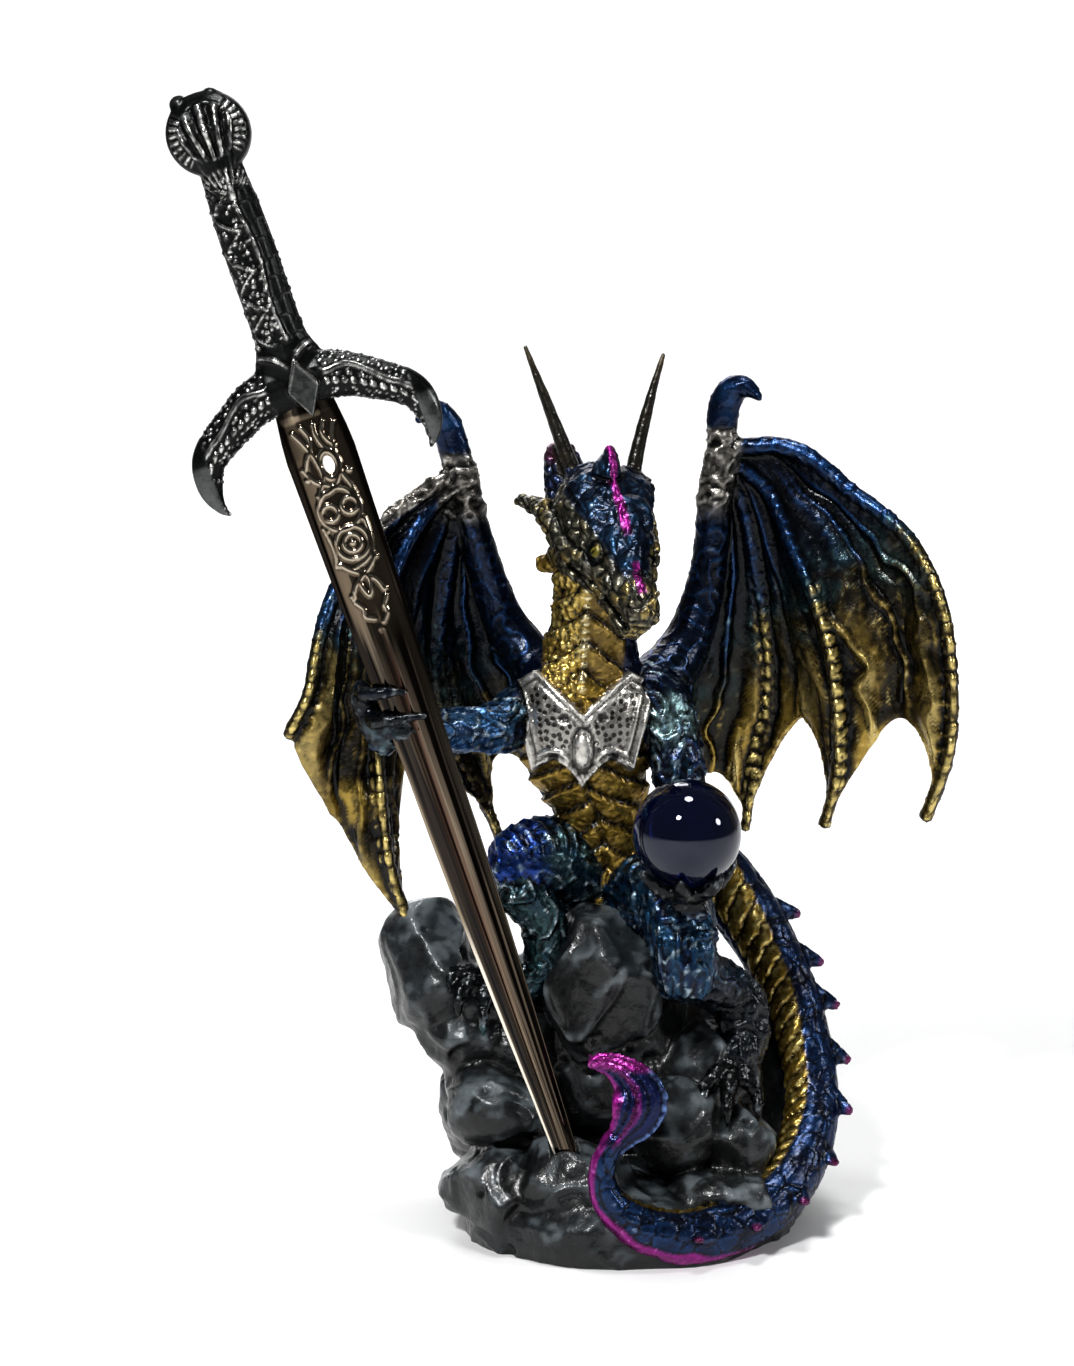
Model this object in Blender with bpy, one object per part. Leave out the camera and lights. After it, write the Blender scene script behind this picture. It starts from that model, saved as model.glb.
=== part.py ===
"""A cast resin dragon on a rock base, with a letter-opener sword and a glass orb.

The dragon and its rocks are one casting. It crouches facing -Y, grips the blade of
the sword in its right claw and holds the orb in its left. The sword is two pieces, a
hilt and a blade, and it lifts out of the claw and out of the slot in the rocks.

The figure is modelled in figure millimetres: shares of its height, which is 160 of
them from the underside to the tips of the horns. Each form is a closed shell. The
shells are fused by a voxel remesh, carved, and thinned to facets. The sword, the orb
and their clearances have sizes of their own.
"""

import math

import bmesh
import bpy
import numpy as np
from mathutils import Euler, Matrix, Vector

# Driving dimensions, in metres
FIGURE_HEIGHT = 0.160
BLADE_LENGTH = 0.1450
BLADE_WIDTH = 0.0124
BLADE_THICKNESS = 0.0026
BLADE_EDGE = 0.0009
EYELET_WIDTH = 0.0020
EYELET_HEIGHT = 0.0032
EYELET_PLACE = (0.06, 0.925)  # across and up the blade, as shares of its width and length
TANG_LENGTH = 0.0065
TANG_WIDTH = 0.0050
GRIP_LENGTH = 0.0384
GRIP_WIDTH = 0.0093
GRIP_DEPTH = 0.0074
GUARD_SPAN = 0.0446
GUARD_DROP = 0.0170
GUARD_THICKNESS = 0.0074
GUARD_DEPTH = 0.0056
POMMEL_DIAMETER = 0.0144
POMMEL_DEPTH = 0.0090
ORB_DIAMETER = 0.0190

# Fits, in metres
FIT_CLEARANCE = 0.0003
SLOT_CLEARANCE = 0.0006
SLOT_DEPTH = 0.0045

# The pose of the sword
SWORD_LEAN_LEFT = math.radians(18.95)
SWORD_LEAN_BACK = math.radians(1.7)

# The blade's outline: its width at shares of its length, as a share of its full width
BLADE_STATIONS = (0.0, 0.044, 0.115, 0.197, 0.314, 0.459, 0.54, 0.683, 0.77, 0.94, 0.965, 1.0)
BLADE_WIDTHS = (0.28, 0.35, 0.41, 0.50, 0.61, 0.70, 0.72, 0.83, 0.92, 1.0, 0.96, 0.86)

# Facets
VOXEL_UNITS = 0.60
HILT_VOXEL_UNITS = 0.35
DETAIL_FACTOR = 0.01
CASTING_FACES = 7700
HILT_FACES = 900
FIGURE_UNITS = 160.0
UNIT = FIGURE_HEIGHT / FIGURE_UNITS

FRONT = (0.0, -1.0, 0.0)
UP = (0.0, 0.0, 1.0)

# Places on the figure, in figure millimetres
SLOT_MOUTH = np.array([-14.1, -24.0, 17.8])
GRIP_HEIGHT = 97.5
PALM = np.array([6.6, -28.5, 67.0])
CHEST_X = -11.2


def clear_scene():
    for thing in list(bpy.data.objects):
        bpy.data.objects.remove(thing, do_unlink=True)


def plain_finish(name, colour, roughness, metallic, alpha=1.0):
    """A plain material with the piece's colour, roughness and metallic value."""
    material = bpy.data.materials.new(name)
    material.use_nodes = True
    shader = material.node_tree.nodes["Principled BSDF"]
    shader.inputs["Base Color"].default_value = (*colour, 1.0)
    shader.inputs["Roughness"].default_value = roughness
    shader.inputs["Metallic"].default_value = metallic
    shader.inputs["Alpha"].default_value = alpha
    return material


def unit(vectors):
    """Each vector at length one."""
    vectors = np.asarray(vectors, float)
    length = np.linalg.norm(vectors, axis=-1, keepdims=True)
    return vectors / np.maximum(length, 1e-9)


def through(rows, per_span=4):
    """A smooth curve through rows of numbers: a place, and whatever follows it."""
    rows = np.array(rows, float)
    ends = np.vstack([2 * rows[0] - rows[1], rows, 2 * rows[-1] - rows[-2]])
    t = np.linspace(0.0, 1.0, per_span, endpoint=False)[:, None]
    spans = []
    for a, b, c, d in zip(ends, ends[1:], ends[2:], ends[3:]):
        curve = 2 * b + (c - a) * t + (2 * a - 5 * b + 4 * c - d) * t**2
        spans.append(0.5 * (curve + (3 * b - a - 3 * c + d) * t**3))
    return np.vstack(spans + [rows[-1:]])


class Clay:
    """Closed shells gathered into one mesh, in figure millimetres."""

    def __init__(self):
        self.points = []
        self.faces = []
        self.count = 0

    def add(self, points, faces):
        points = np.asarray(points, float)
        self.points.append(points)
        self.faces += [[self.count + i for i in face] for face in faces]
        self.count += len(points)

    def mesh(self, name):
        mesh = bpy.data.meshes.new(name)
        mesh.from_pydata(np.vstack(self.points).tolist(), [], self.faces)
        mesh.update()
        return mesh

    def limb(self, rows, facing, sides=12, per_span=4, square=1.0):
        """A closed tube along rows of place, half width and half depth.

        facing is the way its front looks, as one vector or as one for each ring.
        square below 1 fills the corners of its section.
        """
        rows = through(rows, per_span)
        middle = rows[:, :3]
        along = unit(np.gradient(middle, axis=0))
        facing = np.broadcast_to(facing(middle) if callable(facing) else facing, along.shape)
        across = unit(np.cross(facing, along))
        out = unit(np.cross(along, across))
        turn = np.arange(sides) * 2 * math.pi / sides
        width = np.sign(np.cos(turn)) * np.abs(np.cos(turn)) ** square
        depth = np.sign(np.sin(turn)) * np.abs(np.sin(turn)) ** square
        rings = (
            middle[:, None]
            + across[:, None] * rows[:, 3, None, None] * width[None, :, None]
            + out[:, None] * rows[:, 4, None, None] * depth[None, :, None]
        )
        first = middle[0] - along[0] * rows[0, 3:5].min() * 0.6
        last = middle[-1] + along[-1] * rows[-1, 3:5].min() * 0.6
        points = np.vstack([rings.reshape(-1, 3), first, last])
        count = len(rows)
        faces = []
        for i in range(sides):
            j = (i + 1) % sides
            for ring in range(count - 1):
                low, high = ring * sides, (ring + 1) * sides
                faces.append([low + i, low + j, high + j, high + i])
            faces.append([count * sides, j, i])
            top = (count - 1) * sides
            faces.append([count * sides + 1, top + i, top + j])
        self.add(points, faces)

    def spike(self, root, tip, radius, bend=(0.0, 0.0, 0.0), flat=1.0, sides=6):
        """A horn, claw or thorn: a tapered tube that bows by the bend in its middle."""
        root, tip, bend = (np.array(p, float) for p in (root, tip, bend))
        shares = ((0.0, 1.0), (0.35, 0.80), (0.7, 0.54), (1.0, 0.27))
        rows = []
        for share, thick in shares:
            place = root + (tip - root) * share + bend * 4 * share * (1 - share)
            rows.append([*place, radius * thick, radius * thick * flat])
        along = unit(tip - root)
        facing = FRONT if abs(along[1]) < 0.8 else UP
        self.limb(rows, facing, sides=sides, per_span=2)

    def slab(self, grid, thickness):
        """A closed sheet of that thickness over a grid of points."""
        across = np.gradient(grid, axis=0)
        down = np.gradient(grid, axis=1)
        normal = unit(np.cross(across, down))
        thick = np.asarray(thickness, float)[..., None] * 0.5
        rows, columns = grid.shape[:2]
        half = rows * columns
        points = np.vstack(
            [(grid + normal * thick).reshape(-1, 3), (grid - normal * thick).reshape(-1, 3)]
        )
        faces = []
        for r in range(rows - 1):
            for c in range(columns - 1):
                a, b = r * columns + c, r * columns + c + 1
                d, e = a + columns, b + columns
                faces.append([a, d, e, b])
                faces.append([half + a, half + b, half + e, half + d])
        rim = [r * columns for r in range(rows)]
        rim += [(rows - 1) * columns + c for c in range(1, columns)]
        rim += [r * columns + columns - 1 for r in range(rows - 2, -1, -1)]
        rim += list(range(columns - 2, 0, -1))
        for a, b in zip(rim, rim[1:] + rim[:1]):
            faces.append([a, half + a, half + b, b])
        self.add(points, faces)

    def boulder(self, centre, radii, seed, planes=18, soft=0.035):
        """A rock: a ball cut by planes in seeded directions, with softened edges."""
        chance = np.random.RandomState(seed)
        cuts = unit(chance.normal(size=(planes, 3)))
        heights = chance.uniform(0.70, 0.95, planes)
        ball = bmesh.new()
        bmesh.ops.create_icosphere(ball, subdivisions=4, radius=1.0)
        directions = unit([vertex.co[:] for vertex in ball.verts])
        faces = [[vertex.index for vertex in face.verts] for face in ball.faces]
        ball.free()
        facing = np.maximum(directions @ cuts.T, 0.05)
        reach = np.minimum(heights / facing, 1.5)
        reach = -soft * np.log(np.exp(-reach / soft).sum(axis=1))
        reach = np.clip(reach, 0.45, 1.0)
        self.add(np.array(centre) + directions * reach[:, None] * np.array(radii), faces)


def base_radius(turn):
    """How far the base reaches in a direction: it is fullest at its front left."""
    return 32.6 + 2.4 * np.cos(turn + 2.4) + 1.6 * np.cos(2 * turn + 4.33)


def base_slab(clay):
    """The foot of the rocks: a low slab with an uneven round outline."""
    sides = 40
    turn = np.arange(sides) * 2 * math.pi / sides
    uneven = 0.5 * np.sin(5 * turn + 1.0) + 0.4 * np.sin(9 * turn)
    rings = []
    for height, share in ((-3.0, 0.96), (0.6, 0.99), (3.0, 1.0), (6.2, 0.99), (8.4, 0.94), (10.0, 0.84)):
        reach = base_radius(turn) * share + uneven
        lift = 0.7 * np.sin(3 * turn + 0.6) * (height > 5.0)
        ring = np.stack([reach * np.cos(turn), reach * np.sin(turn), height + lift], axis=1)
        rings.append(ring)
    top = [0.0, 0.0, 11.0]
    points = np.vstack(rings + [[[0.0, 0.0, -3.0]], [top]])
    last = (len(rings) - 1) * sides
    faces = []
    for i in range(sides):
        j = (i + 1) % sides
        for ring in range(len(rings) - 1):
            low, high = ring * sides, (ring + 1) * sides
            faces.append([low + i, low + j, high + j, high + i])
        faces.append([len(points) - 2, j, i])
        faces.append([len(points) - 1, last + i, last + j])
    clay.add(points, faces)


def rocks(clay):
    """The base: a slab, and boulders stacked on it, highest at the left."""
    base_slab(clay)
    for centre, radii, seed in (
        ((-25, -14, 9), (12, 14, 10), 2),
        ((-14, -21, 8), (14, 12, 12), 3),
        ((-3, -24, 7), (12, 9, 8), 15),
        ((-27, -10, 24), (12, 13, 8.5), 4),
        ((-24, -3, 30), (13, 13, 12), 5),
        ((-33, -7, 37), (9, 10, 9), 16),
        ((-38.5, -6, 48), (10.5, 11, 12.5), 6),
        ((-28, -5, 42), (9, 10, 9), 7),
        ((-7.6, -8, 45), (12, 12, 15.5), 8),
        ((-5, 9, 28), (25, 20, 31), 9),
        ((12, -6, 28), (11, 12, 11), 10),
        ((15, -13, 16), (9.5, 9, 9.5), 11),
        ((5, -16, 21), (9, 9, 9), 17),
        ((20, 10, 18), (14, 17, 22), 12),
        ((-22, 14, 18), (16, 15, 22), 13),
        ((3, 20, 13), (24, 13, 17), 14),
        ((14, -22, 9), (11, 8, 6), 18),
    ):
        clay.boulder(centre, radii, seed)


def torso(clay):
    """The body, from the pelvis on the rocks up the neck to the back of the head."""
    clay.limb(
        (
            (-5.5, 8, 48, 9.5, 10.0),
            (-6.0, 5, 57, 10.2, 9.6),
            (-7.2, 2.5, 65, 8.4, 8.2),
            (-8.4, 0.5, 72, 7.2, 7.4),
            (-9.6, -1, 79, 8.0, 8.0),
            (-10.8, -2, 86, 10.6, 9.4),
            (-11.2, -2, 93, 12.4, 10.2),
            (-10.8, -1, 99, 11.8, 9.4),
            (-9.8, -1, 104, 9.2, 8.2),
            (-9.2, -2, 110, 7.6, 7.4),
            (-9.2, -3, 116.5, 7.2, 7.0),
            (-9.4, -3, 123, 7.0, 7.0),
            (-9.6, -1, 130, 6.4, 6.8),
        ),
        FRONT,
        sides=16,
    )


# The head's own frame: forward down the muzzle, aside to the dragon's left, and up
HEAD_MIDDLE = np.array([-8.2, -4.0, 131.0])
MUZZLE = unit([7.2, -19.5, -15.5])
ASIDE = unit(np.cross(UP, MUZZLE))
CROWN = np.cross(MUZZLE, ASIDE)


def on_head(forward, aside, up):
    """A place in figure millimetres, given in the head's own frame."""
    return HEAD_MIDDLE + MUZZLE * forward + ASIDE * aside + CROWN * up


def head(clay):
    """The skull and muzzle, jaw, brow mask, cheeks with thorns, crest and horns."""
    skull = (
        (-6.5, 0.8, 6.2, 6.0),
        (-1.5, 0.4, 8.2, 7.2),
        (4.0, 0.0, 8.6, 6.8),
        (9.0, -0.4, 7.6, 6.0),
        (14.0, -0.6, 5.9, 4.9),
        (19.0, -0.8, 4.6, 4.0),
        (24.0, -0.9, 3.7, 3.3),
        (27.5, -1.0, 2.9, 2.6),
    )
    clay.limb([(*on_head(t, 0, u), w, h) for t, u, w, h in skull], CROWN, sides=14)
    jaw = ((1.0, -7.0, 6.6, 3.4), (8, -6.6, 5.6, 3.0), (15, -6.2, 4.2, 2.5), (21, -6.0, 3.2, 2.1),
           (25.2, -6.0, 2.4, 1.8))
    clay.limb([(*on_head(t, 0, u), w, h) for t, u, w, h in jaw], CROWN, sides=10)
    brow_mask(clay)
    for side in (-1, 1):
        cheek(clay, side)
    clay.spike(on_head(26.2, -1.5, 0.6), on_head(24.4, -2.2, 2.8), 1.2)
    clay.spike(on_head(26.2, 1.5, 0.6), on_head(24.4, 2.2, 2.8), 1.2)
    clay.spike((-14.0, 0.0, 134.5), (-21.8, 4.2, 161.0), 1.75, bend=(1.0, 0.2, -0.6))
    clay.spike((-2.2, 0.0, 134.0), (3.8, 4.2, 159.8), 1.65, bend=(-0.6, 0.2, -0.3))
    for forward, height, size in ((-2.5, 12.2, 2.1), (3.0, 9.2, 1.5), (8.0, 8.0, 1.3), (13.0, 6.4, 1.2),
                                  (18.0, 4.9, 1.1), (22.5, 3.8, 1.0)):
        root = on_head(forward + 1.4, 0, height - 4.4)
        clay.spike(root, on_head(forward - 1.0, 0, height), size * 1.25, flat=1.5)
    clay.spike((-13.6, 3.0, 134.0), (-14.6, 5.0, 143.4), 2.6, flat=1.3)
    clay.spike((-10.6, 6.0, 132.0), (-11.6, 12.0, 137.0), 2.2, flat=1.4)


def brow_mask(clay):
    """A thick plate over the forehead that overhangs the eyes and tapers to the nose."""
    forward = np.linspace(-4.5, 20.0, 13)
    spread = np.linspace(-1.0, 1.0, 11)
    half = np.interp(forward, (-4.5, -1, 4, 9, 14, 20), (5.5, 8.6, 8.9, 7.0, 4.2, 1.6))
    crown = np.interp(forward, (-4.5, 0, 6, 12, 20), (6.6, 8.0, 7.6, 5.9, 3.8))
    grid = np.empty((len(forward), len(spread), 3))
    for i, t in enumerate(forward):
        for j, s in enumerate(spread):
            droop = 3.4 * abs(s) ** 1.7 * half[i] / 8.9
            grid[i, j] = on_head(t - 1.8 * s * s, s * half[i], crown[i] - 0.6 - droop)
    clay.slab(grid, np.full(grid.shape[:2], 1.9))


def cheek(clay, side):
    """Two ridges that sweep back from the muzzle, each ending in a thorn, and an eye."""
    clay.limb(
        (
            (*on_head(21, 3.0 * side, -1.2), 1.1, 1.1),
            (*on_head(14, 5.4 * side, -1.4), 1.7, 1.5),
            (*on_head(7, 8.0 * side, -2.2), 2.1, 1.8),
            (*on_head(0, 9.0 * side, -2.4), 2.2, 1.9),
            (*on_head(-5, 9.4 * side, -3.0), 1.9, 1.7),
        ),
        ASIDE * side,
        sides=8,
    )
    clay.limb(
        (
            (*on_head(18, 3.9 * side, -4.4), 1.1, 1.1),
            (*on_head(12, 5.6 * side, -5.0), 1.6, 1.5),
            (*on_head(6, 7.2 * side, -6.4), 2.1, 1.8),
            (*on_head(2, 7.8 * side, -8.2), 1.9, 1.7),
        ),
        ASIDE * side,
        sides=8,
    )
    clay.spike(on_head(-3.5, 8.6 * side, -2.8), on_head(-9.8, 12.8 * side, -4.2), 1.9)
    clay.spike(on_head(3.4, 7.0 * side, -8.2), on_head(-0.8, 11.6 * side, -9.6), 1.7)
    eye = bmesh.new()
    bmesh.ops.create_icosphere(eye, subdivisions=2, radius=1.7)
    points = np.array([vertex.co[:] for vertex in eye.verts]) + on_head(9.4, 5.9 * side, 2.2)
    clay.add(points, [[vertex.index for vertex in face.verts] for face in eye.faces])
    eye.free()


def neck_thorns(clay):
    """Thorns down the back of the neck and the spine."""
    for height, back, size in (
        (123, 4.2, 4.2),
        (115, 4.6, 4.6),
        (107, 6.0, 4.8),
        (98, 8.0, 5.0),
        (88, 8.4, 5.0),
        (78, 7.8, 4.6),
        (69, 9.8, 4.4),
    ):
        root = (-9.4, back - 1.5, height)
        clay.spike(root, (-9.4, back + size, height + 1.5), 2.2, flat=0.7)


def arms(clay):
    """Both arms: the right stretched to the sword, the left bent under the orb."""
    reach = blade_half_units() + 2.6
    clay.limb(
        (
            (-16, 0, 96, 6.2, 6.4),
            (-21.5, -2.5, 94, 5.8, 6.0),
            (-26, -6, 92.2, 4.6, 4.8),
            (-32, -11.5, 92.4, 3.9, 4.1),
            (*sword_spot(-reach * 0.1, 3.4, -3.6), 3.4, 3.6),
            (*sword_spot(-reach, 3.0, -0.8), 3.3, 3.6),
        ),
        UP,
        sides=12,
    )
    clay.limb(
        (
            (-3, 1, 98, 5.4, 5.4),
            (3.4, 0, 96, 5.8, 5.8),
            (7.0, -3, 88.5, 5.0, 5.2),
            (9.8, -6.5, 79.5, 4.4, 4.6),
            (11, -12, 72.5, 3.8, 4.0),
            (9.6, -19, 68.8, 3.4, 3.6),
            (PALM[0] + 0.6, PALM[1] + 4.5, PALM[2] - 1.8, 4.4, 3.0),
            (*(PALM - (0, 0, 2.0)), 5.0, 2.6),
        ),
        (0.5, -0.6, 0.6),
        sides=12,
    )


def orb_place():
    """The middle of the orb, in figure millimetres: it stands on the palm."""
    radius = ORB_DIAMETER / 2 / UNIT
    return PALM + np.array([0.0, 0.0, radius + FIT_CLEARANCE / UNIT + 0.2])


def orb_fingers(clay):
    """Five claws that rise from the palm around the underside of the orb."""
    middle = orb_place()
    reach = ORB_DIAMETER / 2 / UNIT + 1.1
    for turn_deg, rise_deg in ((-100, 50), (-48, 56), (-150, 58), (20, 62), (95, 70)):
        turn = math.radians(turn_deg)
        rows = []
        for share, thick in ((0.0, 2.0), (0.35, 1.7), (0.7, 1.3), (1.0, 0.5)):
            rise = math.radians(10 + (rise_deg - 10) * share)
            flat_reach = reach * math.sin(rise)
            place = middle + (
                flat_reach * math.cos(turn),
                flat_reach * math.sin(turn),
                -reach * math.cos(rise),
            )
            rows.append([*place, thick, thick])
        clay.limb(rows, (math.sin(turn), -math.cos(turn), 0.0), sides=7, per_span=3)


def legs(clay):
    """Crouching legs with toes hooked over the rocks."""
    clay.limb(
        (
            (-8, 5, 62, 8.4, 9.0),
            (-14, -1, 66, 7.8, 8.4),
            (-20, -7, 68.0, 6.8, 7.4),
            (-25.4, -11.5, 67.4, 5.0, 5.8),
        ),
        UP,
        sides=12,
    )
    clay.limb(
        (
            (-23.6, -10.5, 64.0, 5.0, 5.2),
            (-19.0, -9.0, 58.6, 4.6, 4.8),
            (-17.8, -8.5, 52.5, 3.9, 4.2),
            (-19.2, -9.6, 47.0, 3.4, 3.8),
            (-24.0, -12.0, 45.0, 3.4, 2.8),
            (-28.4, -14.0, 46.0, 3.6, 2.4),
        ),
        FRONT,
        sides=10,
    )
    clay.limb(
        (
            (-3, 4, 60, 8.4, 8.4),
            (1.5, -5, 61, 7.6, 7.8),
            (4.8, -12, 60, 6.6, 7.0),
            (6.4, -17, 56.0, 5.6, 6.4),
            (7.0, -18.5, 50.0, 5.2, 5.6),
            (7.2, -18.0, 46.4, 4.4, 4.6),
        ),
        (1.0, 0.0, 0.0),
        sides=12,
        square=0.8,
    )
    clay.limb(
        (
            (7.8, -14.6, 50.0, 5.0, 5.2),
            (12.0, -10.0, 46.0, 4.8, 5.0),
            (17.0, -6.4, 42.0, 4.8, 5.0),
            (18.4, -8.2, 35.5, 4.4, 4.6),
            (16.4, -12.0, 30.6, 4.8, 3.6),
        ),
        (1.0, 0.3, 0.0),
        sides=10,
    )
    toes = (
        ((-28.4, -14.0, 46.0), ((-34.8, -15.0, 48.6), (-33.4, -18.0, 45.6), (-29.0, -18.6, 42.8))),
        ((16.2, -12.4, 30.6), ((10.4, -17.4, 27.6), (14.6, -19.4, 26.0), (20.2, -17.2, 26.4))),
    )
    for heel, tips in toes:
        for tip in tips:
            heel, tip = np.array(heel), np.array(tip)
            knuckle = heel + (tip - heel) * 0.62 + np.array([0.0, -0.6, 1.4])
            clay.limb(
                ((*heel, 2.4, 2.4), (*knuckle, 1.9, 1.9), (*tip, 1.2, 1.2)),
                UP,
                sides=8,
                per_span=3,
            )
            clay.spike(tip + (0, 0.4, 0.6), tip + (0, -1.6, -4.0), 1.4, bend=(0, -0.9, 0.5))


TAIL_ROWS = (
    (-2, 12, 58, 8.6, 8.6),
    (5, 16.5, 61.5, 8.2, 7.8),
    (13, 16.5, 60.5, 7.2, 6.9),
    (19.7, 13, 54, 6.4, 6.2),
    (24.6, 10, 46.0, 5.9, 5.7),
    (28.4, 6, 38.0, 5.5, 5.3),
    (30.6, 1, 29.2, 5.3, 5.1),
    (31.2, -5, 21.4, 5.1, 5.0),
    (28.8, -12.6, 14.0, 5.1, 5.0),
    (23.2, -20.4, 8.4, 5.0, 4.9),
    (15.6, -26.4, 5.8, 4.9, 4.7),
    (6.6, -30.8, 5.0, 4.7, 4.4),
    (-1.4, -32.8, 7.6, 3.9, 3.7),
    (-6.4, -33.4, 12.0, 2.9, 2.9),
    (-8.0, -33.4, 16.6, 2.3, 2.4),
    (-7.2, -33.2, 20.6, 2.1, 2.2),
    (-5.4, -33.0, 23.6, 2.1, 2.2),
)
TAIL_LEAF = (
    (-6.0, -33.0, 22.4, 1.4),
    (-4.2, -33.0, 24.8, 2.4),
    (-2.2, -32.8, 27.6, 4.0),
    (-1.4, -32.2, 30.6, 4.5),
    (-2.6, -31.4, 33.6, 3.4),
    (-5.8, -30.4, 36.0, 1.9),
    (-10.2, -29.6, 36.8, 0.7),
)
TAIL_THORNS = (0.20, 0.26, 0.32, 0.38, 0.44, 0.50, 0.56, 0.62, 0.68)


def outward(places):
    """The way out from the middle of the base, level."""
    return unit(places * (1.0, 1.0, 0.0) - (0.0, 4.0, 0.0))


def tail(clay):
    """The tail, its thorns along the outer edge and the leaf at its end."""
    clay.limb(TAIL_ROWS, outward, sides=12)
    path = through(TAIL_ROWS, 8)
    out = outward(path[:, :3])
    for share in TAIL_THORNS:
        ring = int(share * (len(path) - 1))
        root, reach = path[ring, :3], path[ring, 4]
        along = unit(path[ring + 1, :3] - path[ring, :3])
        away = unit(out[ring] + (0.3, 0.0, 0.2))
        size = 3.4 - 2.0 * share
        tip = root + away * (reach + size) + along * 2.2
        clay.spike(root + away * reach * 0.5 - along * 1.4, tip, 3.0, flat=0.6)
    leaf = through(TAIL_LEAF, 5)
    along = unit(np.gradient(leaf[:, :3], axis=0))
    across = unit(np.cross(along, FRONT))
    spread = np.linspace(-1.0, 1.0, 7)
    grid = leaf[:, None, :3] + across[:, None] * leaf[:, 3, None, None] * spread[None, :, None]
    grid[..., 1] += (1 - spread**2)[None, :] * leaf[:, 3, None] * -0.3
    clay.slab(grid, np.full(grid.shape[:2], 1.9))


RIGHT_WING = {
    "arm": ((1, 4, 97, 5.8), (7.0, 9.5, 103, 5.0), (10.6, 12, 111, 4.0), (12.6, 12, 121, 3.4),
            (13.2, 12, 131, 3.2), (14.8, 12, 141, 3.2)),
    "hook": ((14.6, 12, 141), (14.7, 12, 147), (15.8, 11.6, 151.0), (18.4, 10.2, 152.4),
             (21.4, 8, 150.4)),
    "fingers": (
        ((15, 12, 141.0), (18.6, 12, 142.6), (24.2, 10, 142.3), (30, 8, 139.8), (37.5, 5, 133.9),
         (44.8, 1, 128.8), (50.6, -3, 121.4), (53.4, -5, 113.5), (55.0, -6, 104), (55.4, -6, 94),
         (54.4, -5.4, 83), (51.2, -4, 74.8)),
        ((15, 12, 140), (21.9, 11, 135.3), (27, 8, 124.5), (31.4, 5, 113.8), (34.1, 3, 103.9),
         (35.3, 2.5, 94.7), (35.8, 3, 85.4), (35.2, 4.5, 77.6), (33.8, 6, 71.5)),
        ((15, 12.4, 139), (19.6, 13.5, 127.7), (21.7, 15, 114.5), (23.7, 17, 102.9),
         (24, 18.5, 91.3), (22.3, 19, 83.5), (20.1, 20, 68)),
        ((13.6, 12.4, 138), (12.6, 13, 124), (10.2, 13, 111), (6, 13, 99), (4.4, 15, 84),
         (5, 17, 70)),
    ),
    "scallops": (0.23, 0.24, 0.12),
    "back": (0.25, 0.9, 0.0),
}
LEFT_WING = {
    "arm": ((-15, 3, 96, 5.8), (-20, 8, 101.5, 5.0), (-25.2, 10, 109, 4.0), (-28.6, 9, 118, 3.4),
            (-31.4, 7.6, 128, 3.2), (-33.4, 6, 138, 3.2)),
    "hook": ((-33.6, 6, 137.5), (-35.0, 6, 143), (-36.4, 5.4, 146.6), (-38.6, 3.6, 148.4),
             (-41.2, 1.6, 146.6)),
    "fingers": (
        ((-33.4, 6, 137.2), (-38.8, 3, 134.5), (-45.1, 0, 129.8), (-50.3, -4, 124.8),
         (-54.6, -8, 119), (-57.4, -12, 112.3), (-58.8, -14, 105.4), (-60.2, -15, 98.4),
         (-63.6, -14, 91.6)),
        ((-33.4, 6, 136.6), (-40.6, 2, 128.8), (-45, -3, 120.2), (-47.9, -7, 109.8),
         (-48.6, -9.5, 99.3), (-47.9, -10, 89.4), (-47.3, -10, 79.4), (-46.3, -9.5, 69.2),
         (-44.8, -9, 62.7), (-42.6, -8, 55.4)),
        ((-33.2, 6.4, 136), (-35.4, 7, 120.9), (-37.3, 8, 109.7), (-37.4, 10, 98.3),
         (-34.8, 13, 86.5), (-30.1, 15, 76.6), (-26.4, 16, 67.2)),
        ((-32.6, 7, 134.5), (-30.3, 9, 122.6), (-27.7, 10, 113.2), (-24.4, 12, 105.5),
         (-21.7, 14, 93.9), (-19, 15, 78)),
    ),
    "scallops": (-0.02, 0.34, 0.16),
    "back": (-0.45, 0.8, 0.0),
}
MEMBRANE = 1.7
SAG = 3.2


def along_finger(rows, count):
    """Places at even steps along a smooth curve through a finger's points."""
    curve = through(rows, 8)
    steps = np.linalg.norm(np.diff(curve, axis=0), axis=1)
    travelled = np.concatenate([[0.0], np.cumsum(steps)])
    even = np.linspace(0.0, travelled[-1], count)
    return np.stack([np.interp(even, travelled, curve[:, k]) for k in range(3)], axis=1)


def between(curve, travel):
    """Places at shares of the way along a curve of even steps."""
    even = np.linspace(0.0, 1.0, len(curve))
    return np.stack([np.interp(travel, even, curve[:, k]) for k in range(3)], axis=-1)


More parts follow.
